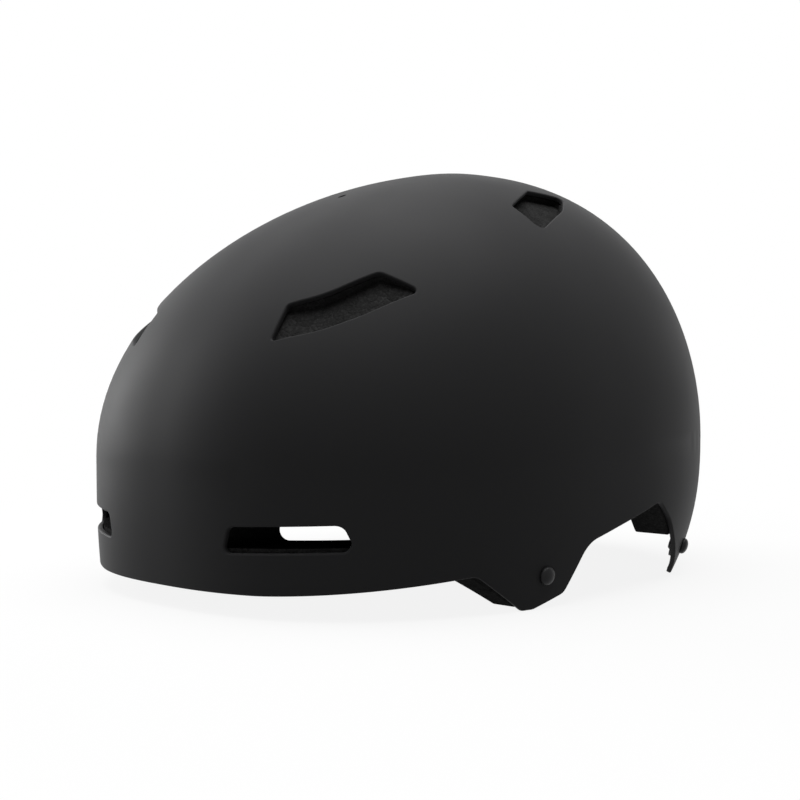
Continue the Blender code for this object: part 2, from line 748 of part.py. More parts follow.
def pad_outlines():
    """Each comfort pad: a prism over its outline, and the place and way of its hook patch."""
    brow_middle = BROW_HEIGHT + (BROW_PAD_LOW + BROW_PAD_HIGH) / 2
    side_middle = BROW_HEIGHT + (SIDE_PAD_LOW + SIDE_PAD_HIGH) / 2
    rear_middle = BROW_HEIGHT + (REAR_PAD_LOW + REAR_PAD_HIGH) / 2
    side_y = (SIDE_PAD_FRONT + SIDE_PAD_REAR) / 2
    crown_y = (CROWN_PAD_FRONT + CROWN_PAD_REAR) / 2
    brow = box_outline(-BROW_PAD_HALF_WIDTH, BROW_PAD_HALF_WIDTH, BROW_HEIGHT + BROW_PAD_LOW,
                       BROW_HEIGHT + BROW_PAD_HIGH, PAD_CORNER)
    crown = box_outline(-CROWN_PAD_HALF_WIDTH, CROWN_PAD_HALF_WIDTH, CROWN_PAD_FRONT,
                        CROWN_PAD_REAR, CROWN_PAD_CORNER)
    flank = box_outline(SIDE_PAD_FRONT, SIDE_PAD_REAR, BROW_HEIGHT + SIDE_PAD_LOW,
                        BROW_HEIGHT + SIDE_PAD_HIGH, PAD_CORNER)
    rear = box_outline(-REAR_PAD_HALF_WIDTH, REAR_PAD_HALF_WIDTH, BROW_HEIGHT + REAR_PAD_LOW,
                       BROW_HEIGHT + REAR_PAD_HIGH, PAD_CORNER)
    yield "brow", "", slab_y("brow_area", brow, -REACH, 0.0), (0, 0, brow_middle), (0, -1, 0)
    yield "crown", "", slab_z("crown_area", crown, 0.0, REACH), (0, crown_y, 0), (0, 0, 1)
    yield ("side", "_left", slab_x("side_area_left", flank, 0.0, REACH),
           (0, side_y, side_middle), (1, 0, 0))
    yield ("side", "_right", slab_x("side_area_right", flank, -REACH, 0.0),
           (0, side_y, side_middle), (-1, 0, 0))
    yield "rear", "", slab_y("rear_area", rear, 0.0, REACH), (0, 0, rear_middle), (0, 1, 0)


def build_pads(liner):
    pad_back = cavity("pad_inner_face", -CLEARANCE - PAD_THICKNESS)
    patch_face = cavity("patch_face", 0.0)
    for label, side, area, place, way in pad_outlines():
        pad = cavity(label + "_pad" + side, -CLEARANCE)
        keep_inside(pad, area)
        cut(pad, pad_back)
        as_part(pad, PAD_FABRIC)
        tag = label + "_patch" + side
        patch = cavity(tag, PATCH_THICKNESS)
        keep_inside(patch, rod(tag + "_disc", PATCH_RADIUS, 0.0, REACH, place, way))
        cut(patch, patch_face)
        as_part(patch, HOOK_TAPE)
        pocket = cavity(tag + "_pocket", PATCH_THICKNESS + CLEARANCE)
        keep_inside(pocket, rod(tag + "_pocket_disc", PATCH_RADIUS + CLEARANCE, 0.0, REACH, place, way))
        cut(liner, pocket)


def oval(inset):
    """Plan outline set in from the flared cavity wall."""
    return plan_outline(CAVITY_HALF_WIDTH + CAVITY_FLARE - inset, CAVITY_FRONT + CAVITY_FLARE - inset,
                        CAVITY_REAR + CAVITY_FLARE - inset, CAVITY_POWER)


def layer(name, inset, thickness, low, high):
    """Upright band of a thickness along the flared cavity wall."""
    band = slab_z(name, oval(inset), BROW_HEIGHT + low, BROW_HEIGHT + high)
    cut(band, slab_z(name + "_inside", oval(inset + thickness), BROW_HEIGHT + low - CUT_REACH,
                     BROW_HEIGHT + high + CUT_REACH))
    return band


GEAR_CENTRE_HEIGHT = BROW_HEIGHT + GEAR_HEIGHT
PITCH_RADIUS = GEAR_MODULE * GEAR_TEETH / 2
TRAY_INNER_HALF_HEIGHT = PITCH_RADIUS + TOOTH_DEDENDUM + RACK_BACK + CLEARANCE
TRAY_HALF_HEIGHT = TRAY_INNER_HALF_HEIGHT + TRAY_WALL
DIAL_BACK_Y = DIAL_FRONT_Y + DIAL_DEPTH
GEAR_BACK_Y = GEAR_FRONT_Y + GEAR_WIDTH


def build_yoke():
    band = layer("fit_yoke", BAND_GAP, BAND_THICKNESS, BAND_LOW, BAND_HIGH)
    cut(band, slab_z("yoke_front", box_outline(-REACH, REACH, -REACH, PIVOT_Y), 0.0, REACH))
    gap = box_outline(-TRAY_HALF_WIDTH, TRAY_HALF_WIDTH, 0.0, REACH)
    cut(band, slab_z("yoke_gap", gap, 0.0, REACH))
    pivot = (0.0, PIVOT_Y, BROW_HEIGHT + PIVOT_HEIGHT)
    band_x = CAVITY_HALF_WIDTH + CAVITY_FLARE - BAND_GAP - BAND_THICKNESS / 2
    tray = box_outline(-TRAY_HALF_WIDTH, TRAY_HALF_WIDTH, GEAR_CENTRE_HEIGHT - TRAY_HALF_HEIGHT,
                       GEAR_CENTRE_HEIGHT + TRAY_HALF_HEIGHT, TRAY_CORNER)
    hollow = box_outline(TRAY_WALL - TRAY_HALF_WIDTH, TRAY_HALF_WIDTH - TRAY_WALL,
                         GEAR_CENTRE_HEIGHT - TRAY_INNER_HALF_HEIGHT,
                         GEAR_CENTRE_HEIGHT + TRAY_INNER_HALF_HEIGHT)
    ears = box_outline(-TRAY_EAR_HALF_WIDTH, TRAY_EAR_HALF_WIDTH,
                       BROW_HEIGHT + BAND_LOW + TRAY_EAR_MARGIN,
                       BROW_HEIGHT + BAND_HIGH - TRAY_EAR_MARGIN)
    floor_y = TRAY_BACK_Y - TRAY_BACK_PLATE
    join(band, slab_y("tray_ears", ears, floor_y + TRAY_EAR_SET_IN, TRAY_BACK_Y - TRAY_EAR_SET_IN))
    join(band, slab_y("gear_tray", tray, TRAY_FRONT_Y, TRAY_BACK_Y))
    cut(band, slab_y("tray_hollow", hollow, TRAY_FRONT_Y - CUT_REACH, floor_y))
    gear_axis = (0.0, 0.0, GEAR_CENTRE_HEIGHT)
    join(band, rod("shaft_boss", BOSS_RADIUS, GEAR_BACK_Y + CLEARANCE, floor_y + JOIN_OVERLAP,
                   gear_axis, (0, 1, 0)))
    cut(band, rod("shaft_hole", SHAFT_RADIUS + CLEARANCE, TRAY_FRONT_Y, TRAY_BACK_Y + CUT_REACH,
                  gear_axis, (0, 1, 0)))
    for side, label in ((1, "left"), (-1, "right")):
        join(band, rod("eyelet_" + label, EYELET_RADIUS, band_x - EYELET_THICKNESS / 2,
                       band_x + EYELET_THICKNESS / 2, pivot, (side, 0, 0), EYELET_STEPS))
        cut(band, rod("eyelet_hole_" + label, PIN_RADIUS + CLEARANCE, band_x - CUT_REACH / 2,
                      band_x + CUT_REACH / 2, pivot, (side, 0, 0)))
        near = GEAR_CENTRE_HEIGHT + side * (PITCH_RADIUS - TOOTH_ADDENDUM - CLEARANCE)
        far = GEAR_CENTRE_HEIGHT + side * TRAY_INNER_HALF_HEIGHT
        ends = sorted((side * (TRAY_HALF_WIDTH - 2 * TRAY_WALL), side * (TRAY_HALF_WIDTH + TRAY_WALL)))
        window = box_outline(ends[0], ends[1], min(near, far), max(near, far))
        cut(band, slab_y("rack_window_" + label, window, TRAY_FRONT_Y - CUT_REACH,
                         GEAR_BACK_Y + CLEARANCE))
    as_part(band, BLACK_PLASTIC, "yoke_pivot")


def build_temple_pivots(liner):
    pivot = (0.0, PIVOT_Y, BROW_HEIGHT + PIVOT_HEIGHT)
    wall_x = CAVITY_HALF_WIDTH + CAVITY_FLARE
    band_x = wall_x - BAND_GAP - BAND_THICKNESS / 2
    head_x = band_x - EYELET_THICKNESS / 2 - CLEARANCE
    socket_end = wall_point(PIVOT_Y, PIVOT_HEIGHT).x - SHELL_WALL - SOCKET_COVER
    bore_end = socket_end - SOCKET_FLOOR
    pin_end = bore_end - PIN_END_GAP
    bore = PIN_RADIUS + CLEARANCE
    pin_profile = (
        (0.0, head_x - PIN_HEAD_THICKNESS),
        (PIN_HEAD_TOP * PIN_HEAD_RADIUS, head_x - PIN_HEAD_THICKNESS),
        (PIN_HEAD_RADIUS, head_x - PIN_HEAD_EDGE * PIN_HEAD_THICKNESS),
        (PIN_HEAD_RADIUS, head_x),
        (PIN_RADIUS, head_x),
        (PIN_RADIUS, pin_end),
        (0.0, pin_end),
    )
    socket_profile = (
        (0.0, bore_end),
        (bore, bore_end),
        (bore, wall_x),
        (SOCKET_RADIUS, wall_x),
        (SOCKET_RADIUS, socket_end),
        (0.0, socket_end),
    )
    for side, label in ((1, "left"), (-1, "right")):
        way = (side, 0, 0)
        as_part(turned("temple_pin_" + label, pin_profile, pivot, way), BLACK_PLASTIC)
        as_part(turned("temple_socket_" + label, socket_profile, pivot, way), BLACK_PLASTIC)
        cut(liner, rod("socket_hole_" + label, SOCKET_RADIUS + CLEARANCE, wall_x - CUT_REACH,
                       socket_end + CLEARANCE, pivot, way))


def involute(angle):
    return math.tan(angle) - angle


def gear_outline():
    """Spur pinion with involute flanks and radial roots."""
    base = PITCH_RADIUS * math.cos(PRESSURE_ANGLE)
    tip = PITCH_RADIUS + TOOTH_ADDENDUM
    root = PITCH_RADIUS - TOOTH_DEDENDUM
    pitch_angle = 2 * math.pi / GEAR_TEETH
    thickness = math.pi * GEAR_MODULE / 2 - TOOTH_BACKLASH
    flank = []
    for share in (0.0, 0.5, 1.0):
        radius = base + (tip - base) * share
        lean = math.acos(min(base / radius, 1.0))
        half = thickness / (2 * PITCH_RADIUS) + involute(PRESSURE_ANGLE) - involute(lean)
        flank.append((radius, half))
    tooth = [(root, -flank[0][1])] + [(radius, -half) for radius, half in flank]
    tooth += [(radius, half) for radius, half in reversed(flank)] + [(root, flank[0][1])]
    points = []
    for index in range(GEAR_TEETH):
        middle = math.pi / 2 + index * pitch_angle
        for radius, turn in tooth:
            points.append((radius * math.cos(middle + turn), radius * math.sin(middle + turn)))
    return points


def rack_outline(side):
    """Toothed bar above the pinion for the left wing, turned over below it for the right."""
    pitch = math.pi * GEAR_MODULE
    slope = math.tan(PRESSURE_ANGLE)
    half = pitch / 4 - TOOTH_BACKLASH / 4
    first = math.ceil((RACK_INNER_X - pitch / 2) / pitch)
    points = []
    for index in range(first, first + RACK_TEETH):
        middle = (index + 0.5) * pitch
        for offset, depth in ((-half - TOOTH_DEDENDUM * slope, TOOTH_DEDENDUM),
                              (-half + TOOTH_ADDENDUM * slope, -TOOTH_ADDENDUM),
                              (half - TOOTH_ADDENDUM * slope, -TOOTH_ADDENDUM),
                              (half + TOOTH_DEDENDUM * slope, TOOTH_DEDENDUM)):
            points.append((middle + offset, PITCH_RADIUS + depth))
    bar_back = PITCH_RADIUS + TOOTH_DEDENDUM + RACK_BACK
    bar_end = WING_INNER_X + WING_ROOT_WIDTH / 2
    points += [(bar_end, PITCH_RADIUS + TOOTH_DEDENDUM), (bar_end, bar_back)]
    bar_start = points[0][0] - RACK_LEAD
    points += [(bar_start, bar_back), (bar_start, PITCH_RADIUS + TOOTH_DEDENDUM)]
    return [(side * x, GEAR_CENTRE_HEIGHT + side * z) for x, z in points]


def build_wings():
    for side, label in ((1, "left"), (-1, "right")):
        low = BROW_HEIGHT + WING_LOW
        high = BROW_HEIGHT + WING_HIGH
        plate = layer("wing_plate_" + label, WING_INSET, WING_THICKNESS, WING_LOW, WING_HIGH)
        ends = sorted((side * WING_INNER_X, side * WING_OUTER_X))
        area = box_outline(ends[0], ends[1], low - WING_TRIM, high + WING_TRIM, WING_CORNER)
        keep_inside(plate, slab_y("wing_area_" + label, area, 0.0, REACH))
        bar_back = GEAR_CENTRE_HEIGHT + side * (PITCH_RADIUS + TOOTH_DEDENDUM + RACK_BACK)
        root_ends = sorted((side * WING_INNER_X, side * (WING_INNER_X + WING_ROOT_WIDTH)))
        root = box_outline(root_ends[0], root_ends[1],
                           min(low + WING_ROOT_MARGIN, bar_back + WING_ROOT_SET_IN),
                           max(high - WING_ROOT_MARGIN, bar_back - WING_ROOT_SET_IN), WING_ROOT_CORNER)
        wing = slab_y("nape_wing_" + label, rack_outline(side), GEAR_FRONT_Y, GEAR_BACK_Y)
        join(wing, slab_y("wing_root_" + label, root, GEAR_FRONT_Y - WING_ROOT_FORWARD,
                          GEAR_BACK_Y - WING_ROOT_SET_IN))
        join(wing, plate)
        as_part(wing, BLACK_PLASTIC, "slide_" + label)
        pad = layer("wing_pad_" + label, WING_INSET + WING_THICKNESS + CLEARANCE,
                    WING_PAD_THICKNESS, WING_LOW + WING_PAD_MARGIN, WING_HIGH - WING_PAD_MARGIN)
        pad_ends = sorted((side * (WING_INNER_X + WING_ROOT_WIDTH + WING_PAD_MARGIN),
                           side * (WING_OUTER_X - WING_PAD_MARGIN)))
        pad_area = box_outline(pad_ends[0], pad_ends[1], low, high, WING_CORNER)
        keep_inside(pad, slab_y("wing_pad_area_" + label, pad_area, 0.0, REACH))
        as_part(pad, PAD_FABRIC, "slide_" + label)


def build_dial():
    axis_place = (0.0, 0.0, GEAR_CENTRE_HEIGHT)
    way = (0, 1, 0)
    teeth = [(x, GEAR_CENTRE_HEIGHT + z) for x, z in gear_outline()]
    pinion = slab_y("dial_pinion", teeth, GEAR_FRONT_Y, GEAR_BACK_Y)
    join(pinion, rod("pinion_shaft", SHAFT_RADIUS, GEAR_FRONT_Y + JOIN_OVERLAP, SHAFT_END_Y,
                     axis_place, way))
    screw_start = DIAL_BACK_Y - SCREW_SINK
    cut(pinion, rod("screw_bore", SCREW_SHANK_RADIUS + CLEARANCE,
                    screw_start - SCREW_LENGTH - CLEARANCE, SHAFT_END_Y + CUT_REACH,
                    axis_place, way, BORE_STEPS))
    as_part(pinion, BLACK_PLASTIC, "dial_axis")

    rim = []
    count = FLUTE_POINTS * DIAL_FLUTES
    for index in range(count):
        angle = 2 * math.pi * index / count
        radius = DIAL_RADIUS - DIAL_FLUTE_DEPTH * 0.5 * (1.0 + math.cos(DIAL_FLUTES * angle))
        rim.append((radius * math.cos(angle), GEAR_CENTRE_HEIGHT + radius * math.sin(angle)))
    dial = slab_y("fit_dial", rim, DIAL_FRONT_Y, DIAL_BACK_Y)
    socket_end = DIAL_FRONT_Y + DIAL_SOCKET_DEPTH
    cut(dial, rod("dial_socket", SHAFT_RADIUS + CLEARANCE, DIAL_FRONT_Y - CUT_REACH, socket_end,
                  axis_place, way))
    cut(dial, rod("screw_hole", SCREW_SHANK_RADIUS + CLEARANCE, DIAL_FRONT_Y, DIAL_BACK_Y + CUT_REACH,
                  axis_place, way, BORE_STEPS))
    cut(dial, rod("screw_recess", SCREW_HEAD_RADIUS + CLEARANCE, screw_start - CLEARANCE,
                  DIAL_BACK_Y + CUT_REACH, axis_place, way))
    as_part(dial, BLACK_PLASTIC, "dial_axis")

    screw_profile = (
        (0.0, screw_start + SCREW_HEAD_HEIGHT),
        (SCREW_HEAD_TOP * SCREW_HEAD_RADIUS, screw_start + SCREW_HEAD_HEIGHT),
        (SCREW_HEAD_RADIUS, screw_start + SCREW_HEAD_EDGE * SCREW_HEAD_HEIGHT),
        (SCREW_HEAD_RADIUS, screw_start),
        (SCREW_SHANK_RADIUS, screw_start),
        (SCREW_SHANK_RADIUS, screw_start - SCREW_LENGTH),
        (0.0, screw_start - SCREW_LENGTH),
    )
    as_part(turned("dial_screw", screw_profile, axis_place, way, SCREW_STEPS), BLACK_METAL, "dial_axis")


def build_tray_cover():
    low = GEAR_CENTRE_HEIGHT - TRAY_HALF_HEIGHT
    high = GEAR_CENTRE_HEIGHT + TRAY_HALF_HEIGHT
    back = TRAY_FRONT_Y - CLEARANCE
    front = back - COVER_THICKNESS
    face = box_outline(-TRAY_HALF_WIDTH, TRAY_HALF_WIDTH, low, high, TRAY_CORNER)
    as_part(slab_y("tray_cover", face, front, back), BLACK_PLASTIC, "yoke_pivot")
    inset = NAPE_PAD_MARGIN
    soft = box_outline(inset - TRAY_HALF_WIDTH, TRAY_HALF_WIDTH - inset, low + inset, high - inset,
                       TRAY_CORNER)
    pad = slab_y("nape_pad", soft, front - CLEARANCE - NAPE_PAD_THICKNESS, front - CLEARANCE)
    as_part(pad, PAD_FABRIC, "yoke_pivot")


def build_helmet():
    pivot = Vector((0.0, PIVOT_Y, BROW_HEIGHT + PIVOT_HEIGHT))
    gear = Vector((0.0, GEAR_FRONT_Y, GEAR_CENTRE_HEIGHT))
    joint_empty("yoke_pivot", pivot)
    joint_empty("dial_axis", gear, "yoke_pivot")
    joint_empty("slide_left", gear, "yoke_pivot")
    joint_empty("slide_right", gear, "yoke_pivot")
    shell = build_shell()
    liner = build_liner()
    shared, shell_only, liner_only = vent_cutters()
    cut(shell, *shared, *shell_only)
    cut(liner, *shared, *liner_only)
    build_rivets(shell, liner)
    build_liner_pin(shell, liner)
    build_pads(liner)
    build_temple_pivots(liner)
    as_part(shell, BLACK_SHELL)
    as_part(liner, BLACK_FOAM)
    build_yoke()
    build_tray_cover()
    build_dial()
    build_wings()


build_helmet()
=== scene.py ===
"""Looks of the hard-shell helmet: smooth moulded shell, bead-foam liner, padded lining, fit cradle."""
import math

import bmesh
import bpy
import numpy as np
from mathutils import Matrix, Vector
from mathutils.geometry import delaunay_2d_cdt
from mathutils.kdtree import KDTree


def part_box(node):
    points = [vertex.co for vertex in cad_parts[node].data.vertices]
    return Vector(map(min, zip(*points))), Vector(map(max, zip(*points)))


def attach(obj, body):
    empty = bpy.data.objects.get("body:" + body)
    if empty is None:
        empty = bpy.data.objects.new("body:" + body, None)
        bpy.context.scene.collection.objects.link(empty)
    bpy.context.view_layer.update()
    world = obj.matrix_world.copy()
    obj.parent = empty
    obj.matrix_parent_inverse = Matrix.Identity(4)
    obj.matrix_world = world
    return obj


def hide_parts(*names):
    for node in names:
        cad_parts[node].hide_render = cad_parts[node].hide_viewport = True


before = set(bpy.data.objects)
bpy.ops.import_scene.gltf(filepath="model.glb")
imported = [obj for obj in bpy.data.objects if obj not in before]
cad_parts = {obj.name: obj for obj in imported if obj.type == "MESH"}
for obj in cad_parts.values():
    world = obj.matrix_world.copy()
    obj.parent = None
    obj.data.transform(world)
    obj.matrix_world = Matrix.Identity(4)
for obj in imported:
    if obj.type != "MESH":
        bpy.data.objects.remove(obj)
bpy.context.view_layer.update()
HELMET = "helmet"
SIDES = (("left", 1.0), ("right", -1.0))

# Steps, tolerances and ray lengths of the work itself
TINY = 1e-9
BISECT_STEPS = 46
SLOPE_STEP = 1e-5
RAY_REACH = 0.2
SKIN_RAY = (-0.004, 0.004)
VENT_RAY = (-0.02, 0.03)
PIN_RAY_START = 0.08
SKEW_WAY = (0.3, 0.2, 0.9)
ARC_STEP = math.radians(4.0)
ARC_SHARE = 0.49
STRAIGHT_TURN = 0.01
RIM_TURNS = 9000
RIM_PASSES = 3
RIM_DIPS = (math.radians(60.0), math.radians(133.0))
DISC_POINTS = 72
LATHE_STEPS = 96
LATHE_JOIN = 0.000001
LATHE_SHARP = 40.0
EASE_POINTS = 6
EASE_SHARE = 0.45
FACET_JOIN = 0.00001
FACET_ANGLE = math.radians(0.5)
EASED_SHARP = 35.0
LINER_SHARP = 32.0
PAD_SHARP = 70.0
DIAL_SHARP = 38.0

# Form of the shell, as in the part's source
SHELL_HALF_WIDTH = 0.109
SHELL_HALF_LENGTH = 0.1383
FAR = 4 * SHELL_HALF_LENGTH
SHELL_WALL = 0.002
CROWN_RISE = 0.1187
CROWN_SET_BACK = 0.0257
EQUATOR_HEIGHT = 0.0433
WALL_DEPTH_FRONT = 0.190
WALL_DEPTH_REAR = 0.0777
PLAN_POWER_FRONT = 2.51
PLAN_POWER_REAR = 2.26
CROWN_POWER = 1.985
WALL_POWER = 2.53
LENGTHWISE_TILT = 0.03
BROW_HEIGHT = 0.0129
LINER_GAP = 0.0003

SHELL_RIM = (
    (-0.1500, -0.0053, 0.0), (-0.1300, -0.0048, 0.030), (-0.0737, 0.0012, 0.007),
    (-0.0534, -0.0129, 0.002), (-0.0478, -0.0129, 0.002), (-0.0327, -0.0084, 0.005),
    (-0.0210, 0.0090, 0.014), (0.0282, 0.0214, 0.007), (0.0393, 0.0130, 0.016),
    (0.0633, -0.0129, 0.002), (0.0698, -0.0129, 0.002), (0.0868, -0.0016, 0.012),
    (0.0998, -0.0016, 0.012), (0.1218, 0.0056, 0.016), (0.1293, 0.0170, 0.004),
    (0.1600, 0.0170, 0.0),
)
LINER_RIM = (
    (-0.1500, -0.0037, 0.0), (-0.1300, -0.0032, 0.030), (-0.0767, 0.0022, 0.007),
    (-0.0556, -0.0113, 0.003), (-0.0490, -0.0113, 0.003), (-0.0345, -0.0066, 0.005),
    (-0.0226, 0.0106, 0.012), (0.0270, 0.0232, 0.008), (0.0425, 0.0060, 0.005),
    (0.0628, 0.0078, 0.010), (0.0998, 0.0030, 0.016), (0.1218, 0.0086, 0.010),
    (0.1293, 0.0190, 0.004), (0.1600, 0.0190, 0.0),
)
BROW_VENT = (
    (0.0340, 0.0094, 0.0020), (0.0742, 0.0112, 0.0016), (0.0756, 0.0140, 0.0016),
    (0.0735, 0.0203, 0.0030), (0.0366, 0.0187, 0.0030),
)
REAR_VENT = (
    (0.0220, 0.0500, 0.0030), (0.0580, 0.0560, 0.0030), (0.0560, 0.0660, 0.0030),
    (0.0240, 0.0610, 0.0030),
)
UPPER_VENT_PLACE = ((0.0574, -0.0987, 0.0958), (0.433, -0.641, 0.634), (0.610, 0.726, 0.318))
UPPER_VENT = (
    (-0.0287, -0.0035, 0.0010), (-0.0187, 0.0094, 0.0018), (-0.0050, 0.0063, 0.0500),
    (0.0163, 0.0100, 0.0030), (0.0276, -0.0026, 0.0018), (0.0040, -0.0083, 0.0600),
    (-0.0120, -0.0086, 0.0400),
)
TOP_VENT_PLACE = ((0.0601, 0.0117, 0.1408), (0.585, -0.019, 0.810), (0.409, -0.856, -0.316))
TOP_VENT = (
    (0.0180, -0.0098, 0.0012), (-0.0138, -0.0103, 0.0024), (-0.0312, 0.0031, 0.0020),
    (-0.0100, 0.0071, 0.0300), (0.0250, 0.0061, 0.0034),
)
FRONT_RIVET_Y = -0.0435
REAR_RIVET_Y = 0.0663
RIVET_HEIGHT = -0.0008
RIVET_HOLE_RADIUS = 0.0023
RIVET_HOLE_POINTS = 24
LINER_PIN_Y = -0.0455
PIN_HOLE_RADIUS = 0.0017
PIN_HOLE_POINTS = 20

# Head cavity and seats of the liner, as in the part's source
MOUTH_HALF_WIDTH = 0.097
MOUTH_FRONT = 0.115
MOUTH_TOP = 0.004
MOUTH_POINTS = 160
CAVITY_HALF_WIDTH = 0.082
CAVITY_FRONT = 0.108
CAVITY_REAR = 0.106
CAVITY_EQUATOR = 0.045
CAVITY_RISE = 0.0875
CAVITY_SET_BACK = 0.016
CAVITY_POWER = 2.3
CAVITY_CROWN_POWER = 2.1
CAVITY_DEPTH = 0.100
CAVITY_SOLE = 0.2
CAVITY_FLARE = 0.008
FLARE_TOP = 0.056
FLARE_FULL = 0.045
FLARE_BEGINS = -0.75
FLARE_BLEND = 0.5
NOTCH_HALF_WIDTH = 0.037
NOTCH_HEIGHT = 0.042
NOTCH_CORNER = 0.012
NOTCH_FRONT_Y = 0.090
POCKET_OUTREACH = SHELL_HALF_LENGTH / 2
UPPER_POCKET_DEPTH = 0.0036
TOP_RECESS_DEPTH = 0.0042
BROW_DUCT_MARGIN = 0.0022
BROW_DUCT_INWARD = 0.0046
BROW_DUCT_SILL = 0.0014
BROW_DUCT_END = -0.080
PIVOT_Y = -0.0072
PIVOT_HEIGHT = 0.027
SOCKET_RADIUS = 0.0055
SOCKET_END = 0.0995
SOCKET_LENGTH = 0.030
WASHER_POCKET_RADIUS = 0.0072
WASHER_POCKET_DEPTH = 0.0070
SEAT_OUTREACH = 0.012
PIN_SEAT_DEPTH = 0.013
PIN_SEAT_POINTS = 32
PATCH_THICKNESS = 0.0012
PATCH_RADIUS = 0.011

# Rivets and the fit cradle
RIVET_SEAT = 0.00005
RIVET_EDGE = 0.0005
RIVET_HEAD_RADIUS = 0.0034
RIVET_HEAD_HEIGHT = 0.0024
RIVET_SHANK_RADIUS = 0.0020
RIVET_EASE = 0.0003
DOME_POINTS = 12
WASHER_RADIUS = 0.0058
WASHER_THICKNESS = 0.0010
WASHER_SEAT_GAP = 0.0011
WASHER_EASE = 0.00025
UPSET_THICKNESS = 0.0010
UPSET_TAPER = 0.8
DIAL_RADIUS = 0.015
DIAL_FLUTES = 12
DIAL_FLUTE_DEPTH = 0.0014
DIAL_FLUTE_POWER = 1.6
DIAL_FLUTE_POINTS = 30
DIAL_EASE = 0.0012
DIAL_EASE_POINTS = 7
DIAL_DISH = 0.0010
DIAL_FACE = ((0.62, 0.8, 0.1), (0.84, 0.0, 0.5))
DIAL_HUB_RADIUS = 0.0075
DIAL_SOCKET_DEPTH = 0.0060
SHAFT_RADIUS = 0.0030
SCREW_HEAD_RADIUS = 0.0040
SCREW_SINK = 0.0032
SCREW_EASE = 0.0003
RECESS_EDGE = 0.0002
RECESS_BEVEL = 0.0003
WING_INSET = 0.0105
WING_THICKNESS = 0.0022
WING_LOW = 0.009
WING_HIGH = 0.027
WING_INNER_X = 0.0375
WING_ROOT_WIDTH = 0.006
WING_OUTER_X = 0.068
WING_CORNER = 0.005
WING_PAD_MARGIN = 0.0015
TRAY_CORNER = 0.004
MOULDED_NODES = (
    ("fit_yoke", "yoke", 0.0004), ("tray_cover", "yoke", 0.0004),
    ("nape_wing_left", "wing_left", 0.00025), ("nape_wing_right", "wing_right", 0.00025),
    ("temple_pin_left", HELMET, 0.0003), ("temple_pin_right", HELMET, 0.0003),
    ("temple_socket_left", HELMET, 0.0003), ("temple_socket_right", HELMET, 0.0003),
    ("dial_pinion", "dial", 0.0001), ("liner_pin", HELMET, 0.0002),
)

# Comfort pads; a row has label, way, axes, limits with heights from the brow line, corner and seams
PAD_CORNER = 0.009
CROWN_PAD_CORNER = 0.018
CAVITY_PADS = (
    ("brow", (0, -1, 0), [0, 2], (-0.060, 0.060, 0.026, 0.046), PAD_CORNER, (0, (-0.021, 0.021))),
    ("crown", (0, 0, 1), [0, 1], (-0.030, 0.030, -0.032, 0.062), CROWN_PAD_CORNER, (1, (0.0, 0.031))),
    ("side_left", (1, 0, 0), [1, 2], (-0.036, 0.030, 0.056, 0.086), PAD_CORNER, (0, ())),
    ("side_right", (-1, 0, 0), [1, 2], (-0.036, 0.030, 0.056, 0.086), PAD_CORNER, (0, ())),
    ("rear", (0, 1, 0), [0, 2], (-0.038, 0.038, 0.058, 0.084), PAD_CORNER, (0, ())),
)
PAD_FULL = 0.0058
WING_PAD_FULL = 0.0046
PAD_STEP = 0.0008
PAD_HEM = 0.0026
PAD_HEM_HEIGHT = 0.0017
PAD_HEM_ROUND = 0.0009
PAD_SWELL = 0.0075
PAD_ROW_SHARE = 0.866
PAD_EDGE_SHARE = 0.45
HEM_FLOOR = 0.04
GROOVE_SHARE = 0.55
GROOVE_WIDTH = 0.0009
SWELL_POWER = 2.4
SEAM_BED = 0.6
SEAM_SHARE = 0.9
SEAM_WIDTH = 0.0030
PUCKER_HEIGHT = 0.0001
PUCKER_PLACE = 0.0041
PUCKER_WIDTH = 0.002
PUCKER_WAVES = (900.0, 420.0, 780.0)
PUCKER_SWAY = 2.0
HEM_RADIUS = 0.0009
THREAD_WIDTH = 0.00045
STITCH_STEP = 0.0024
STITCH_LENGTH = 0.0017
STITCH_LIFT = 0.3

# Materials; a moulded finish has colour, roughness, size and height of its grain, and gloss
FINISHES = {
    "shell_black": ((0.030, 0.030, 0.031), 0.50, 0.00035, 0.00002, 0.04),
    "cradle_plastic": ((0.050, 0.050, 0.052), 0.42, 0.0005, 0.00002, 0.30),
    "rivet_black": ((0.014, 0.014, 0.015), 0.32, 0.0004, 0.00001, 0.15),
    "pad_binding_cloth": ((0.070, 0.070, 0.072), 0.90, 0.0004, 0.0001, 0.10),
    "pad_thread": ((0.280, 0.280, 0.286), 0.80, 0.0002, 0.00005, 0.20),
}
ROUGHNESS_SWING = 0.05
PAD_COLOUR = (0.200, 0.200, 0.206)
HOOK_COLOUR = (0.060, 0.060, 0.060)
YARN_STEP = 0.0007
ROW_SCALE = 0.157
COLUMN_SCALE = 0.314
BEAD_SIZE = 0.0030
SPECK_SIZE = 0.0009
FOAM_TONES = ((0.35, 0.025), (0.52, 0.034), (0.66, 0.048), (0.75, 0.066))

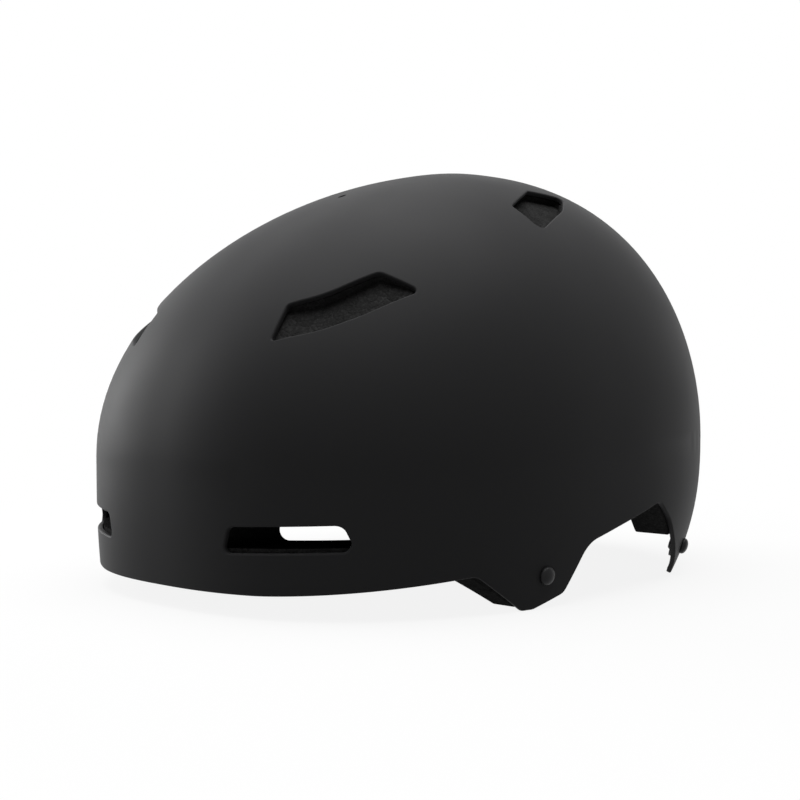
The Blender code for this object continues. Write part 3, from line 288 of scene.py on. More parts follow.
# Camera, and the studio: white surroundings, pale floor, soft boxes by place, size and power
CAMERA_SENSOR = 36.0
CAMERA_LENS = 56.94
CAMERA_NEAR = 0.01
CAMERA_LOOK = Vector((-0.6940, 0.7197, -0.0101))
CAMERA_PLACE = (0.38228, -0.40725, 0.07990)
AMBIENT_LEVEL = 0.05
FLOOR_HALF_SIZE = 4.0
FLOOR_TONE_SEEN = 0.80
FLOOR_TONE_AS_LIGHT = 0.20
FLOOR_FILL = 0.15
FLOOR_WHITE_NEAR = 0.88
FLOOR_FADE_START = 0.10
FLOOR_FADE_END = 0.42
LAMP_AIM = Vector((0.0, 0.0, 0.09))
LAMPS = (
    ("crown_softbox", (0.0, 0.0, 1.340), 1.5, 24.0),
    ("rim_softbox", (-1.024, 0.019, 0.807), 0.8, 1.4),
    ("side_softbox", (-1.156, -0.397, 0.350), 0.8, 11.8),
)

# Finish of the visual pieces
LIP_RADIUS = 0.0007
INNER_LIP = 0.0003
HOLE_LIP_RADIUS = 0.00035
LIP_STEPS = 5
INNER_LIP_STEPS = 3
LIP_BAND = 0.0018
SKIN_GAP = 0.0016
SKIN_LOW = -0.02
EDGE_STEP = 0.0009
GRID_LEVEL = 6


def rounded(corners):
    """Flat outline through corners (x, y, radius), with an arc at each rounded corner."""
    points = []
    count = len(corners)
    for index, (x, y, radius) in enumerate(corners):
        here = Vector((x, y))
        before = Vector(corners[index - 1][:2]) - here
        after = Vector(corners[(index + 1) % count][:2]) - here
        turn = math.pi - before.angle(after)
        if radius <= 0.0 or turn < STRAIGHT_TURN:
            points.append(here)
            continue
        setback = min(radius * math.tan(turn / 2), ARC_SHARE * min(before.length, after.length))
        radius = setback / math.tan(turn / 2)
        start = here + before.normalized() * setback
        way = (before.normalized() + after.normalized()).normalized()
        centre = here + way * (radius / math.cos(turn / 2))
        side = 1.0 if before.cross(after) < 0.0 else -1.0
        steps = max(2, math.ceil(turn / ARC_STEP))
        for share in range(steps + 1):
            points.append(centre + Matrix.Rotation(side * turn * share / steps, 2) @ (start - centre))
    return np.array([(p.x, p.y) for p in points])


def closed_steps(points, step):
    """Length along a closed line up to each of its points, and places at even steps along it."""
    path = np.vstack([points, points[:1]])
    lengths = np.r_[0.0, np.cumsum(np.linalg.norm(np.diff(path, axis=0), axis=1))]
    return lengths, np.linspace(0.0, lengths[-1], max(8, int(round(lengths[-1] / step))), endpoint=False)


def even_steps(points, step):
    """Points at even steps along a closed line."""
    lengths, places = closed_steps(points, step)
    return np.column_stack([np.interp(places, lengths, np.r_[axis, axis[0]]) for axis in points.T])


def unit(rows):
    """One vector, or rows of them, at length 1."""
    return rows / np.linalg.norm(rows, axis=-1, keepdims=True)


def tangents(loop):
    return np.roll(loop, -1, axis=0) - np.roll(loop, 1, axis=0)


def signed_power(value, power):
    return np.sign(value) * np.abs(value) ** power


def wall_depth(back):
    """Depth of the wall's formula below the equator, from the front to the back."""
    rearward = 0.5 * (1.0 + back)
    return WALL_DEPTH_FRONT * (1.0 - rearward) + WALL_DEPTH_REAR * rearward


def plan_terms(points):
    """Reach, shares to the side, back and height, bend and half of points, by the shell's formula."""
    y = points[:, 1]
    rise = points[:, 2] - BROW_HEIGHT - EQUATOR_HEIGHT - LENGTHWISE_TILT * y
    above = rise >= 0.0
    y0 = y - CROWN_SET_BACK * (np.maximum(rise, 0.0) / CROWN_RISE) ** 2
    power = np.where(y0 < 0.0, PLAN_POWER_FRONT, PLAN_POWER_REAR)
    across = np.abs(points[:, 0]) / SHELL_HALF_WIDTH
    along = np.abs(y0) / SHELL_HALF_LENGTH
    reach = np.maximum((across ** power + along ** power) ** (1.0 / power), TINY)
    back = np.sign(y0) * np.minimum(along / reach, 1.0) ** (power / 2)
    side = np.sign(points[:, 0]) * np.minimum(across / reach, 1.0) ** (power / 2)
    share = np.abs(rise) / np.where(above, CROWN_RISE, wall_depth(back))
    bend = np.where(above, CROWN_POWER, WALL_POWER)
    return reach, side, back, share, bend, above


def shell_level(points):
    """Below 0 inside the shell's outer surface and above 0 outside it."""
    reach, _, _, share, bend, _ = plan_terms(points)
    return reach ** bend + share ** bend - 1.0


def shell_normal(points):
    slope = np.empty_like(points)
    for axis, shift in enumerate(SLOPE_STEP * np.eye(3)):
        slope[:, axis] = shell_level(points + shift) - shell_level(points - shift)
    return unit(slope)


def normal_at(place):
    return shell_normal(place[None])[0]


def bisected(inside, near, far, count):
    """How far each of a number of rays stays inside, between two distances."""
    low, high = np.full(count, near), np.full(count, far)
    for _ in range(BISECT_STEPS):
        middle = (low + high) / 2
        within = inside(middle)
        low = np.where(within, middle, low)
        high = np.where(within, high, middle)
    return low


def onto_shell(points, way, near, far):
    """Where rays leave the shell's outer surface, between two distances along them."""
    reach = bisected(lambda d: shell_level(points + way * d[:, None]) < 0.0, near, far, len(points))
    return points + way * reach[:, None]


def shell_direction(points):
    """Direction on the unit sphere that the shell's formula takes to each surface point."""
    _, side, back, share, bend, above = plan_terms(points)
    upright = np.where(above, 1.0, -1.0) * np.minimum(share, 1.0) ** (bend / 2)
    level = np.sqrt(np.maximum(1.0 - upright ** 2, 0.0))
    return np.column_stack([side * level, back * level, upright])


def shell_point(ways):
    """Point of the shell's outer surface for each direction on the unit sphere."""
    level = np.maximum(np.hypot(ways[:, 0], ways[:, 1]), TINY)
    side = ways[:, 0] / level
    back = ways[:, 1] / level
    plan = 2.0 / np.where(back < 0.0, PLAN_POWER_FRONT, PLAN_POWER_REAR)
    above = ways[:, 2] >= 0.0
    bend = 2.0 / np.where(above, CROWN_POWER, WALL_POWER)
    rise = np.where(above, CROWN_RISE, -wall_depth(back)) * np.abs(ways[:, 2]) ** bend
    reach = level ** bend
    x = SHELL_HALF_WIDTH * signed_power(side, plan) * reach
    y = SHELL_HALF_LENGTH * signed_power(back, plan) * reach
    y = y + CROWN_SET_BACK * (np.maximum(rise, 0.0) / CROWN_RISE) ** 2
    return np.column_stack([x, y, BROW_HEIGHT + EQUATOR_HEIGHT + rise + LENGTHWISE_TILT * y])


def flat_map(points):
    """Angle-true map of the shell's surface on a plane, with the crown in the middle."""
    way = shell_direction(points)
    return way[:, :2] / (1.0 + way[:, 2:3])


def sphere_grid(level):
    """Directions over the whole sphere, and the triangles between them."""
    bm = bmesh.new()
    bmesh.ops.create_icosphere(bm, subdivisions=level, radius=1.0)
    ways = np.array([vert.co for vert in bm.verts])
    faces = [[vert.index for vert in face.verts] for face in bm.faces]
    bm.free()
    return unit(ways), faces


WAYS, WAY_FACES = sphere_grid(GRID_LEVEL)


def rim_loop(corners):
    """Closed edge loop where the shell's surface meets a lower edge given in side view."""
    ends = [(corners[-1][0], -FAR, 0.0), (corners[0][0], -FAR, 0.0)]
    side_view = rounded(list(corners) + ends)
    side_view = side_view[side_view[:, 1] > -FAR / 2]
    side_view = side_view[np.argsort(side_view[:, 0])]

    def edge_point(turn, dip):
        level = np.sin(dip)
        return shell_point(np.column_stack([level * np.cos(turn), level * np.sin(turn), np.cos(dip)]))

    def above(turn, dip):
        points = edge_point(turn, dip)
        return points[:, 2] > BROW_HEIGHT + np.interp(points[:, 1], side_view[:, 0], side_view[:, 1])

    turn = np.linspace(0.0, 2 * math.pi, RIM_TURNS, endpoint=False)
    for _ in range(RIM_PASSES):
        points = edge_point(turn, bisected(lambda dip: above(turn, dip), *RIM_DIPS, len(turn)))
        lengths, places = closed_steps(points, EDGE_STEP)
        turn = np.interp(places, lengths, np.r_[turn, turn[0] + 2 * math.pi])
    return points


def front_view_loop(corners, side, way):
    """Edge loop of a vent that is given in front view and cut along Y."""
    outline = even_steps(rounded(corners), EDGE_STEP)
    start = np.column_stack([side * outline[:, 0], np.zeros(len(outline)), outline[:, 1] + BROW_HEIGHT])
    return onto_shell(start, np.array((0.0, way, 0.0)), 0.0, RAY_REACH)


def placed_axes(place, side):
    """Axes (along, across, outward) and centre of a vent's frame on one side of the shell."""
    centre, outward, along = (np.array(item) * (side, 1.0, 1.0) for item in place)
    outward = unit(outward)
    along = unit(along - outward * along.dot(outward))
    return along, np.cross(outward, along), outward, centre + (0.0, 0.0, BROW_HEIGHT)


def placed_loop(corners, place, side):
    """Edge loop of a vent that is given in a frame on the shell."""
    along, across, outward, centre = placed_axes(place, side)
    outline = even_steps(rounded(corners), EDGE_STEP) * (1.0, side)
    return onto_shell(centre + outline[:, :1] * along + outline[:, 1:] * across, outward, *VENT_RAY)


def disc_outline(radius, steps=DISC_POINTS):
    turn = np.linspace(0.0, 2 * math.pi, steps, endpoint=False)
    return np.column_stack([radius * np.cos(turn), radius * np.sin(turn)])


def round_loop(centre, radius, count):
    """Edge loop of a round hole through the shell."""
    normal = normal_at(centre)
    along = unit(np.cross(normal, SKEW_WAY))
    ring = centre + disc_outline(radius, count) @ np.array((along, np.cross(normal, along)))
    return onto_shell(ring, normal, *SKIN_RAY)


def surface_place(start, way):
    return onto_shell(np.array([start]), np.array(way), 0.0, RAY_REACH)[0]


def pin_place():
    return surface_place((0.0, LINER_PIN_Y, PIN_RAY_START), (0.0, 0.0, 1.0))


def rivet_places():
    for end, y in (("front", FRONT_RIVET_Y), ("rear", REAR_RIVET_Y)):
        left = surface_place((0.0, y, BROW_HEIGHT + RIVET_HEIGHT), (1.0, 0.0, 0.0))
        for label, side in SIDES:
            yield end + "_" + label, left * (side, 1.0, 1.0)


def inside_loops(points, loops):
    """Even-odd test of flat points against flat loops."""
    inside = np.zeros(len(points), bool)
    for loop in loops:
        near = np.nonzero(((points >= loop.min(0)) & (points <= loop.max(0))).all(1))[0]
        if not len(near):
            continue
        x, y = points[near, 0][:, None], points[near, 1][:, None]
        x1, y1 = loop[:, 0], loop[:, 1]
        x2, y2 = np.roll(x1, -1), np.roll(y1, -1)
        spans = (y1 > y) != (y2 > y)
        with np.errstate(divide="ignore", invalid="ignore"):
            crossing = x < (x2 - x1) * (y - y1) / (y2 - y1) + x1
        inside[near] ^= (np.count_nonzero(spans & crossing, axis=1) % 2).astype(bool)
    return inside


def ring_edges(first, count):
    return [(first + k, first + (k + 1) % count) for k in range(count)]


def ring_quads(firsts, count):
    """Quads between closed rings of as many points each."""
    return [(low + k, low + (k + 1) % count, high + (k + 1) % count, high + k)
            for low, high in zip(firsts, firsts[1:]) for k in range(count)]


def filled(flat, edges, loops):
    """Triangles over flat points that fill what the loops enclose."""
    _, _, triangles, sources, _, _ = delaunay_2d_cdt([Vector(p) for p in flat], edges, [], 0, TINY)
    source = np.array([item[0] if item else -1 for item in sources])
    triangles = np.array([source[list(face)] for face in triangles if len(face) == 3])
    triangles = triangles[(triangles >= 0).all(1)]
    return triangles[inside_loops(flat[triangles].mean(1), loops)]


def linked(name, mesh):
    item = bpy.data.objects.new(name, mesh)
    bpy.context.scene.collection.objects.link(item)
    return item


def mesh_object(name, points, faces):
    mesh = bpy.data.meshes.new(name)
    mesh.from_pydata([tuple(p) for p in points], [], [tuple(int(k) for k in f) for f in faces])
    mesh.update()
    return linked(name, mesh)


def faced_object(name, points, normals, faces):
    """Smooth object with given normals, every face turned the way they point."""
    turned = []
    for face in faces:
        a, b, c = points[list(face[:3])]
        facing = np.cross(b - a, c - a).dot(normals[list(face[:3])].sum(0))
        turned.append(face[::-1] if facing < 0.0 else face)
    item = mesh_object(name, points, turned)
    item.data.validate()
    item.data.polygons.foreach_set("use_smooth", [True] * len(item.data.polygons))
    item.data.normals_split_custom_set_from_vertices(normals.tolist())
    item.data.update()
    return item


def shell_edges():
    """Edge loops of the shell with their lip radius: the lower edge, then vents and holes."""
    yield rim_loop(SHELL_RIM), LIP_RADIUS
    for _, side in SIDES:
        yield front_view_loop(BROW_VENT, side, -1.0), LIP_RADIUS
        yield front_view_loop(REAR_VENT, side, 1.0), LIP_RADIUS
        yield placed_loop(UPPER_VENT, UPPER_VENT_PLACE, side), LIP_RADIUS
        yield placed_loop(TOP_VENT, TOP_VENT_PLACE, side), LIP_RADIUS
    for _, place in rivet_places():
        yield round_loop(place, RIVET_HOLE_RADIUS, RIVET_HOLE_POINTS), HOLE_LIP_RADIUS
    yield round_loop(pin_place(), PIN_HOLE_RADIUS, PIN_HOLE_POINTS), HOLE_LIP_RADIUS


def lip_rings(lip):
    """Rings round an edge: distance from it, depth below the surface and turn of the normal."""
    rings = [(LIP_BAND, 0.0, 0.0)]
    for angle in np.linspace(0.0, math.pi / 2, LIP_STEPS):
        rings.append((lip * (1.0 - math.sin(angle)), lip * (1.0 - math.cos(angle)), angle))
    for angle in np.linspace(math.pi / 2, math.pi, INNER_LIP_STEPS):
        rings.append((INNER_LIP * (1.0 - math.sin(angle)),
                      SHELL_WALL - INNER_LIP * (1.0 + math.cos(angle)), angle))
    return rings + [(LIP_BAND, SHELL_WALL, math.pi)]


def make_shell():
    """Shell skin of one wall thickness, with a rounded lip on every edge."""
    points, normals = np.empty((0, 3)), np.empty((0, 3))
    faces, borders = [], []
    for number, (loop, lip) in enumerate(shell_edges()):
        normal = shell_normal(loop)
        inward = unit(np.cross(normal, tangents(loop)))
        outside = inward[:, 2] if number == 0 else ((loop - loop.mean(0)) * inward).sum(1)
        if outside.mean() < 0.0:
            inward = -inward
        firsts = []
        for distance, depth, angle in lip_rings(lip):
            base = onto_shell(loop + inward * distance, normal, *SKIN_RAY)
            facing = shell_normal(base)
            firsts.append(len(points))
            points = np.vstack([points, base - facing * depth])
            normals = np.vstack([normals, facing * math.cos(angle) - inward * math.sin(angle)])
        faces += ring_quads(firsts, len(loop))
        borders.append((firsts[0], points[firsts[0]:firsts[1]], firsts[-1]))
    skin = shell_point(WAYS)
    skin = skin[skin[:, 2] > SKIN_LOW]
    tree = KDTree(sum(len(border) for _, border, _ in borders))
    for _, border, _ in borders:
        for place in border:
            tree.insert(place, 0)
    tree.balance()
    flat_borders = [flat_map(border) for _, border, _ in borders]
    flat_skin = flat_map(skin)
    keep = inside_loops(flat_skin, flat_borders)
    keep &= np.array([tree.find(place)[2] > SKIN_GAP for place in skin])
    skin, flat_skin = skin[keep], flat_skin[keep]
    numbers, edges = [], []
    for first, border, last in borders:
        edges += ring_edges(len(numbers), len(border))
        numbers += [(first + k, last + k) for k in range(len(border))]
    facing = shell_normal(skin)
    outer, inner = len(points), len(points) + len(skin)
    points = np.vstack([points, skin, skin - facing * SHELL_WALL])
    normals = np.vstack([normals, facing, -facing])
    numbers = np.array(numbers + [(outer + k, inner + k) for k in range(len(skin))])
    triangles = filled(np.vstack(flat_borders + [flat_skin]), edges, flat_borders)
    faces += [tuple(row) for row in np.vstack([numbers[triangles, 0], numbers[triangles, 1]])]
    return faced_object("shell_skin", points, normals, faces)


def smooth_step(value):
    value = np.clip(value, 0.0, 1.0)
    return value * value * (3.0 - 2.0 * value)


def cavity_point(ways, grow):
    """Point of the head cavity for each direction on the sphere, grown outwards by a distance."""
    level = np.maximum(np.hypot(ways[:, 0], ways[:, 1]), TINY)
    side, back = ways[:, 0] / level, ways[:, 1] / level
    above = ways[:, 2] >= 0.0
    upright = np.abs(ways[:, 2])
    bend = 2.0 / CAVITY_CROWN_POWER
    reach = np.where(above, level ** bend, np.minimum(1.0, level / CAVITY_SOLE))
    sink = np.minimum(np.arcsin(np.minimum(upright, 1.0)) / math.asin(math.sqrt(1 - CAVITY_SOLE ** 2)), 1.0)
    height = CAVITY_EQUATOR + np.where(above, (CAVITY_RISE + grow) * upright ** bend, -CAVITY_DEPTH * sink)
    length = np.where(back < 0.0, CAVITY_FRONT, CAVITY_REAR)
    spread = grow + cavity_flare(height, back)
    plan = 2.0 / CAVITY_POWER
    x = (CAVITY_HALF_WIDTH + spread) * signed_power(side, plan) * reach
    y = (length + spread) * signed_power(back, plan) * reach
    y = y + CAVITY_SET_BACK * (np.maximum(height - CAVITY_EQUATOR, 0.0) / CAVITY_RISE) ** 2
    return np.column_stack([x, y, BROW_HEIGHT + height])


def cavity_flare(height, back):
    """How far the head cavity widens towards its mouth."""
    opening = smooth_step((FLARE_TOP - height) / (FLARE_TOP - FLARE_FULL))
    return CAVITY_FLARE * opening * smooth_step((back - FLARE_BEGINS) / FLARE_BLEND)


def cavity_level(points, grow):
    """Below 0 inside the head cavity, set by a distance per point, and above 0 outside it."""
    height = points[:, 2] - BROW_HEIGHT
    rise = np.maximum(height - CAVITY_EQUATOR, 0.0)
    y = points[:, 1] - CAVITY_SET_BACK * (rise / CAVITY_RISE) ** 2
    length = np.where(y < 0.0, CAVITY_FRONT, CAVITY_REAR)
    back = np.sign(y) * np.minimum(np.abs(y) / length, 1.0) ** (CAVITY_POWER / 2)
    spread = grow + cavity_flare(height, back)
    reach = ((np.abs(points[:, 0]) / (CAVITY_HALF_WIDTH + spread)) ** CAVITY_POWER
             + (np.abs(y) / (length + spread)) ** CAVITY_POWER) ** (1.0 / CAVITY_POWER)
    return reach ** CAVITY_CROWN_POWER + (rise / (CAVITY_RISE + grow)) ** CAVITY_CROWN_POWER - 1.0


def onto_cavity(points, way, grow):
    """Where rays from inside meet the head cavity's wall, set by a distance per point."""
    reach = bisected(lambda d: cavity_level(points + way * d[:, None], grow) < 0.0, 0.0, RAY_REACH,
                     len(points))
    return points + way * reach[:, None]


def ball_object(name, points):
    """Closed surface with the triangles of the sphere of directions."""
    return mesh_object(name, points, WAY_FACES)


def prism_object(name, outline, near, far, place):
    """Closed prism over a flat outline, between two distances along the Z of its place."""
    count = len(outline)
    points = [(x, y, z) for z in (near, far) for x, y in outline]
    caps = [range(count), range(count, 2 * count)]
    item = mesh_object(name, points, caps + ring_quads([0, count], count))
    cleaned(item.data, split_caps=True)
    item.data.transform(place)
    return item


def axes_frame(x_axis, y_axis, z_axis, origin=(0.0, 0.0, 0.0)):
    turned = Matrix((x_axis, y_axis, z_axis)).transposed().to_4x4()
    turned.translation = Vector(origin)
    return turned


def axis_frame(place, axis):
    turn = Vector((0.0, 0.0, 1.0)).rotation_difference(Vector(axis)).to_matrix().to_4x4()
    turn.translation = Vector(place)
    return turn


ALONG_X = axes_frame((0, 1, 0), (0, 0, 1), (1, 0, 0))
ALONG_Y = axes_frame((-1, 0, 0), (0, 0, 1), (0, 1, 0))


def raised(outline):
    return outline + (0.0, BROW_HEIGHT)


def settled(item):
    """The object with its modifiers worked into its own mesh."""
    graph = bpy.context.evaluated_depsgraph_get()
    mesh = bpy.data.meshes.new_from_object(item.evaluated_get(graph))
    item.modifiers.clear()
    item.data = mesh
    return item


def carve(item, cutters, operation="DIFFERENCE"):
    for cutter in cutters:
        tool = item.modifiers.new(cutter.name, "BOOLEAN")
        tool.operation = operation
        tool.solver = "MANIFOLD"
        tool.object = cutter
    settled(item)
    for cutter in cutters:
        bpy.data.objects.remove(cutter)
    return item


def smooth_by_angle(item, degrees):
    mesh = item.data
    mesh.polygons.foreach_set("use_smooth", [True] * len(mesh.polygons))
    mesh.set_sharp_from_angle(angle=math.radians(degrees))
    mesh.update()
    return item


def cleaned(mesh, join=0.0, flat=0.0, split_caps=False):
    """Near points joined, flat facets merged, all faces turned outwards and caps split up."""
    bm = bmesh.new()
    bm.from_mesh(mesh)
    if join:
        bmesh.ops.remove_doubles(bm, verts=bm.verts, dist=join)
    if flat:
        bmesh.ops.dissolve_limit(bm, angle_limit=flat, verts=bm.verts, edges=bm.edges)
    bmesh.ops.recalc_face_normals(bm, faces=bm.faces)
    if split_caps:
        bmesh.ops.triangulate(bm, faces=[face for face in bm.faces if len(face.verts) > 4])
    bm.to_mesh(mesh)
    bm.free()


def duct_outline(corners):
    """Brow vent outline, wider at the top and the ends, most towards the middle, above a sill."""
    middle_x = sum(corner[0] for corner in corners) / len(corners)
    middle_y = sum(corner[1] for corner in corners) / len(corners)
    wider = []
    for x, y, radius in corners:
        more = BROW_DUCT_MARGIN if x > middle_x else -BROW_DUCT_MARGIN - BROW_DUCT_INWARD
        higher = BROW_DUCT_MARGIN if y > middle_y else BROW_DUCT_SILL
        wider.append((x + more, y + higher, radius + BROW_DUCT_MARGIN))
    return rounded(wider)


def cavity_pads():
    """Label, way, axes and limits of the flat outline, corner and seams of each pad in the cavity."""
    for label, way, axes, limits, corner, (seam_axis, seams) in CAVITY_PADS:
        rise = BROW_HEIGHT if axes[1] == 2 else 0.0
        left, right, low, high = np.array(limits) + (0.0, 0.0, rise, rise)
        lines = [((at, low), (at, high)) if seam_axis == 0 else ((left, at), (right, at)) for at in seams]
        yield label, way, axes, (left, right, low, high), corner, lines


def kind_name(label, kind):
    """Name of one kind of thing at a labelled place, such as side_pad_left."""
    place, _, side = label.partition("_")
    return "_".join(filter(None, (place, kind, side)))


def mouth_outline():
    """Plan of the liner's widened mouth below its lower edge."""
    side, back = disc_outline(1.0, MOUTH_POINTS).T
    bend = 2.0 / PLAN_POWER_FRONT
    length = np.where(back < 0.0, MOUTH_FRONT, CAVITY_REAR)
    return np.column_stack([MOUTH_HALF_WIDTH * signed_power(side, bend), length * signed_power(back, bend)])


def make_liner():
    """Foam liner: the shell's form set in, less the head cavity, lower edge, vents and seats."""
    skin = shell_point(WAYS)
    liner = ball_object("foam_liner", skin - shell_normal(skin) * (SHELL_WALL + LINER_GAP))
    cutters = [ball_object("head_cavity", cavity_point(WAYS, 0.0))]

    def cut(name, outline, near, far, place):
        cutters.append(prism_object(name, outline, near, far, place))

    closed = list(LINER_RIM) + [(LINER_RIM[-1][0], -FAR, 0.0), (LINER_RIM[0][0], -FAR, 0.0)]
    cut("liner_edge", raised(rounded(closed)), -FAR, FAR, ALONG_X)
    cut("liner_mouth", mouth_outline(), -FAR, BROW_HEIGHT + MOUTH_TOP, Matrix.Identity(4))
    notch = rounded(((-NOTCH_HALF_WIDTH, -NOTCH_HEIGHT, 0.0), (NOTCH_HALF_WIDTH, -NOTCH_HEIGHT, 0.0),
                     (NOTCH_HALF_WIDTH, NOTCH_HEIGHT, NOTCH_CORNER),
                     (-NOTCH_HALF_WIDTH, NOTCH_HEIGHT, NOTCH_CORNER)))
    cut("dial_notch", raised(notch), NOTCH_FRONT_Y, FAR, ALONG_Y)
    for label, side in SIDES:
        for name, vent, place, depth in (
                ("upper_pocket_", UPPER_VENT, UPPER_VENT_PLACE, UPPER_POCKET_DEPTH),
                ("top_recess_", TOP_VENT, TOP_VENT_PLACE, TOP_RECESS_DEPTH)):
            cut(name + label, rounded(vent) * (1.0, side), -depth, POCKET_OUTREACH,
                axes_frame(*placed_axes(place, side)))
        flip = (-side, 1.0)
        cut("brow_duct_" + label, raised(duct_outline(BROW_VENT)) * flip, -FAR, BROW_DUCT_END, ALONG_Y)
        cut("rear_duct_" + label, raised(rounded(REAR_VENT)) * flip, 0.0, FAR, ALONG_Y)
        cut("socket_seat_" + label, disc_outline(SOCKET_RADIUS + LINER_GAP), SOCKET_END - SOCKET_LENGTH,
            SOCKET_END + LINER_GAP, axis_frame((0.0, PIVOT_Y, BROW_HEIGHT + PIVOT_HEIGHT), (side, 0, 0)))
    for label, place in rivet_places():
        if label.startswith("front"):
            cut("washer_seat_" + label, disc_outline(WASHER_POCKET_RADIUS), -WASHER_POCKET_DEPTH,
                SEAT_OUTREACH, axis_frame(place, normal_at(place)))
    cut("pin_seat", disc_outline(PIN_HOLE_RADIUS, PIN_SEAT_POINTS), -PIN_SEAT_DEPTH, SEAT_OUTREACH,
        axis_frame(pin_place(), normal_at(pin_place())))
    for label, way, axes, limits, _, _ in cavity_pads():
        middle = np.zeros(3)
        middle[axes] = (limits[0] + limits[1]) / 2, (limits[2] + limits[3]) / 2
        seat = ball_object(kind_name(label, "seat"), cavity_point(WAYS, PATCH_THICKNESS + LINER_GAP))
        disc = prism_object("patch_disc", disc_outline(PATCH_RADIUS + LINER_GAP), 0.0, FAR,
                            axis_frame(middle, way))
        cutters.append(carve(seat, [disc], "INTERSECT"))
    return smooth_by_angle(carve(liner, cutters), LINER_SHARP)


def lathe(name, profile, place, axis, sharp=LATHE_SHARP, flute=np.zeros(LATHE_STEPS)):
    """Body turned about an axis from rows of radius, height and, where fluted, share of the flutes."""
    steps = len(flute)
    rim = disc_outline(1.0, steps)
    points, firsts = [], []
    for radius, height, *share in profile:
        firsts.append(len(points))
        reach = np.maximum(radius - sum(share) * flute, 0.0)[:, None]
        points += np.column_stack([reach * rim, np.full(steps, height)]).tolist()
    item = mesh_object(name, points, ring_quads(firsts, steps))
    item.data.transform(axis_frame(place, axis))
    cleaned(item.data, LATHE_JOIN)
    return smooth_by_angle(item, sharp)


def eased(profile, radius):
    """Profile with its middle corners rounded."""
    points = [profile[0]]
    for corner in zip(profile, profile[1:], profile[2:]):
        before, here, after = (Vector(item) for item in corner)
        back, on = before - here, after - here
        setback = min(radius, EASE_SHARE * back.length, EASE_SHARE * on.length)
        start, end = here + back.normalized() * setback, here + on.normalized() * setback
        for share in np.linspace(0.0, 1.0, EASE_POINTS):
            points.append(tuple(start.lerp(here, share).lerp(here.lerp(end, share), share)))
    return points + [profile[-1]]


def make_rivet(name, place):
    """Strap rivet: a low dome with a rolled edge, its shank and its upset end."""
    crest = RIVET_HEAD_HEIGHT - RIVET_EDGE
    dome = [(RIVET_HEAD_RADIUS * math.sin(angle), RIVET_SEAT + RIVET_EDGE + crest * math.cos(angle))
            for angle in np.linspace(0.0, math.pi / 2, DOME_POINTS)]
    upset = -SHELL_WALL - WASHER_SEAT_GAP - WASHER_THICKNESS - LINER_GAP
    end = upset - UPSET_THICKNESS
    body = eased([dome[-1], (RIVET_HEAD_RADIUS, RIVET_SEAT), (RIVET_SHANK_RADIUS, RIVET_SEAT),
                  (RIVET_SHANK_RADIUS, upset), (RIVET_HEAD_RADIUS, upset),
                  (UPSET_TAPER * RIVET_HEAD_RADIUS, end), (0.0, end)], RIVET_EASE)
    return lathe(name, dome[:-1] + body, place, normal_at(place))


def make_washer(name, place):
    top = -SHELL_WALL - WASHER_SEAT_GAP
    low, middle = top - WASHER_THICKNESS, top - WASHER_THICKNESS / 2
    hole = RIVET_SHANK_RADIUS + LINER_GAP
    ring = eased([(hole, middle), (hole, top), (WASHER_RADIUS, top), (WASHER_RADIUS, low), (hole, low),
                  (hole, middle)], WASHER_EASE)
    return lathe(name, ring, place, normal_at(place))


def refined(name, node, width):
    """Copy of a machined or moulded solid with its facets joined and its edges eased."""
    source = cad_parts[node]
    mesh = source.data.copy()
    mesh.transform(source.matrix_world)
    cleaned(mesh, FACET_JOIN, FACET_ANGLE)
    mesh.materials.clear()
    item = linked(name, mesh)
    ease = item.modifiers.new("eased_edges", "BEVEL")
    ease.width = width
    ease.segments = 3
    ease.limit_method = "ANGLE"
    ease.angle_limit = math.radians(EASED_SHARP)
    ease.use_clamp_overlap = True
    return smooth_by_angle(settled(item), EASED_SHARP)


def line_distance(points, start, run):
    """Distance of flat points from a straight line."""
    share = np.clip(((points - start) @ run) / max(run @ run, TINY ** 2), 0.0, 1.0)
    return np.linalg.norm(points - start - share[:, None] * run, axis=1)


def edge_distance(points, loop):
    """Distance of flat points from a closed flat outline."""
    nearest = np.full(len(points), np.inf)
    for start, run in zip(loop, np.roll(loop, -1, axis=0) - loop):
        nearest = np.minimum(nearest, line_distance(points, start, run))
    return nearest


def pad_height(points, loop, full, seams):
    """Height of a quilted pad: a rolled hem, a stitched groove, then the stuffed middle."""
    distance = edge_distance(points, loop)
    hem = PAD_HEM_HEIGHT * np.sqrt(np.clip(1.0 - (1.0 - distance / PAD_HEM_ROUND) ** 2, HEM_FLOOR, 1.0))
    hem = np.where(distance > PAD_HEM_ROUND, PAD_HEM_HEIGHT, hem)
    groove = 1.0 - GROOVE_SHARE * np.exp(-((distance - PAD_HEM) / GROOVE_WIDTH) ** 2)
    swell = np.clip((distance - PAD_HEM) / PAD_SWELL, 0.0, 1.0)
    height = hem * groove + (full - PAD_HEM_HEIGHT) * (1.0 - (1.0 - swell) ** SWELL_POWER)
    for begin, end in seams:
        away = line_distance(points, np.array(begin), np.array(end) - np.array(begin))
        bed = SEAM_BED * PAD_HEM_HEIGHT
        height -= (height - bed) * SEAM_SHARE * np.exp(-(away / SEAM_WIDTH) ** 2)
    across, sway, along = PUCKER_WAVES
    x, y = points.T
    pucker = np.sin(x * across + PUCKER_SWAY * np.sin(y * sway)) * np.sin(y * along)
    return height + PUCKER_HEIGHT * pucker * np.exp(-((distance - PUCKER_PLACE) / PUCKER_WIDTH) ** 2)


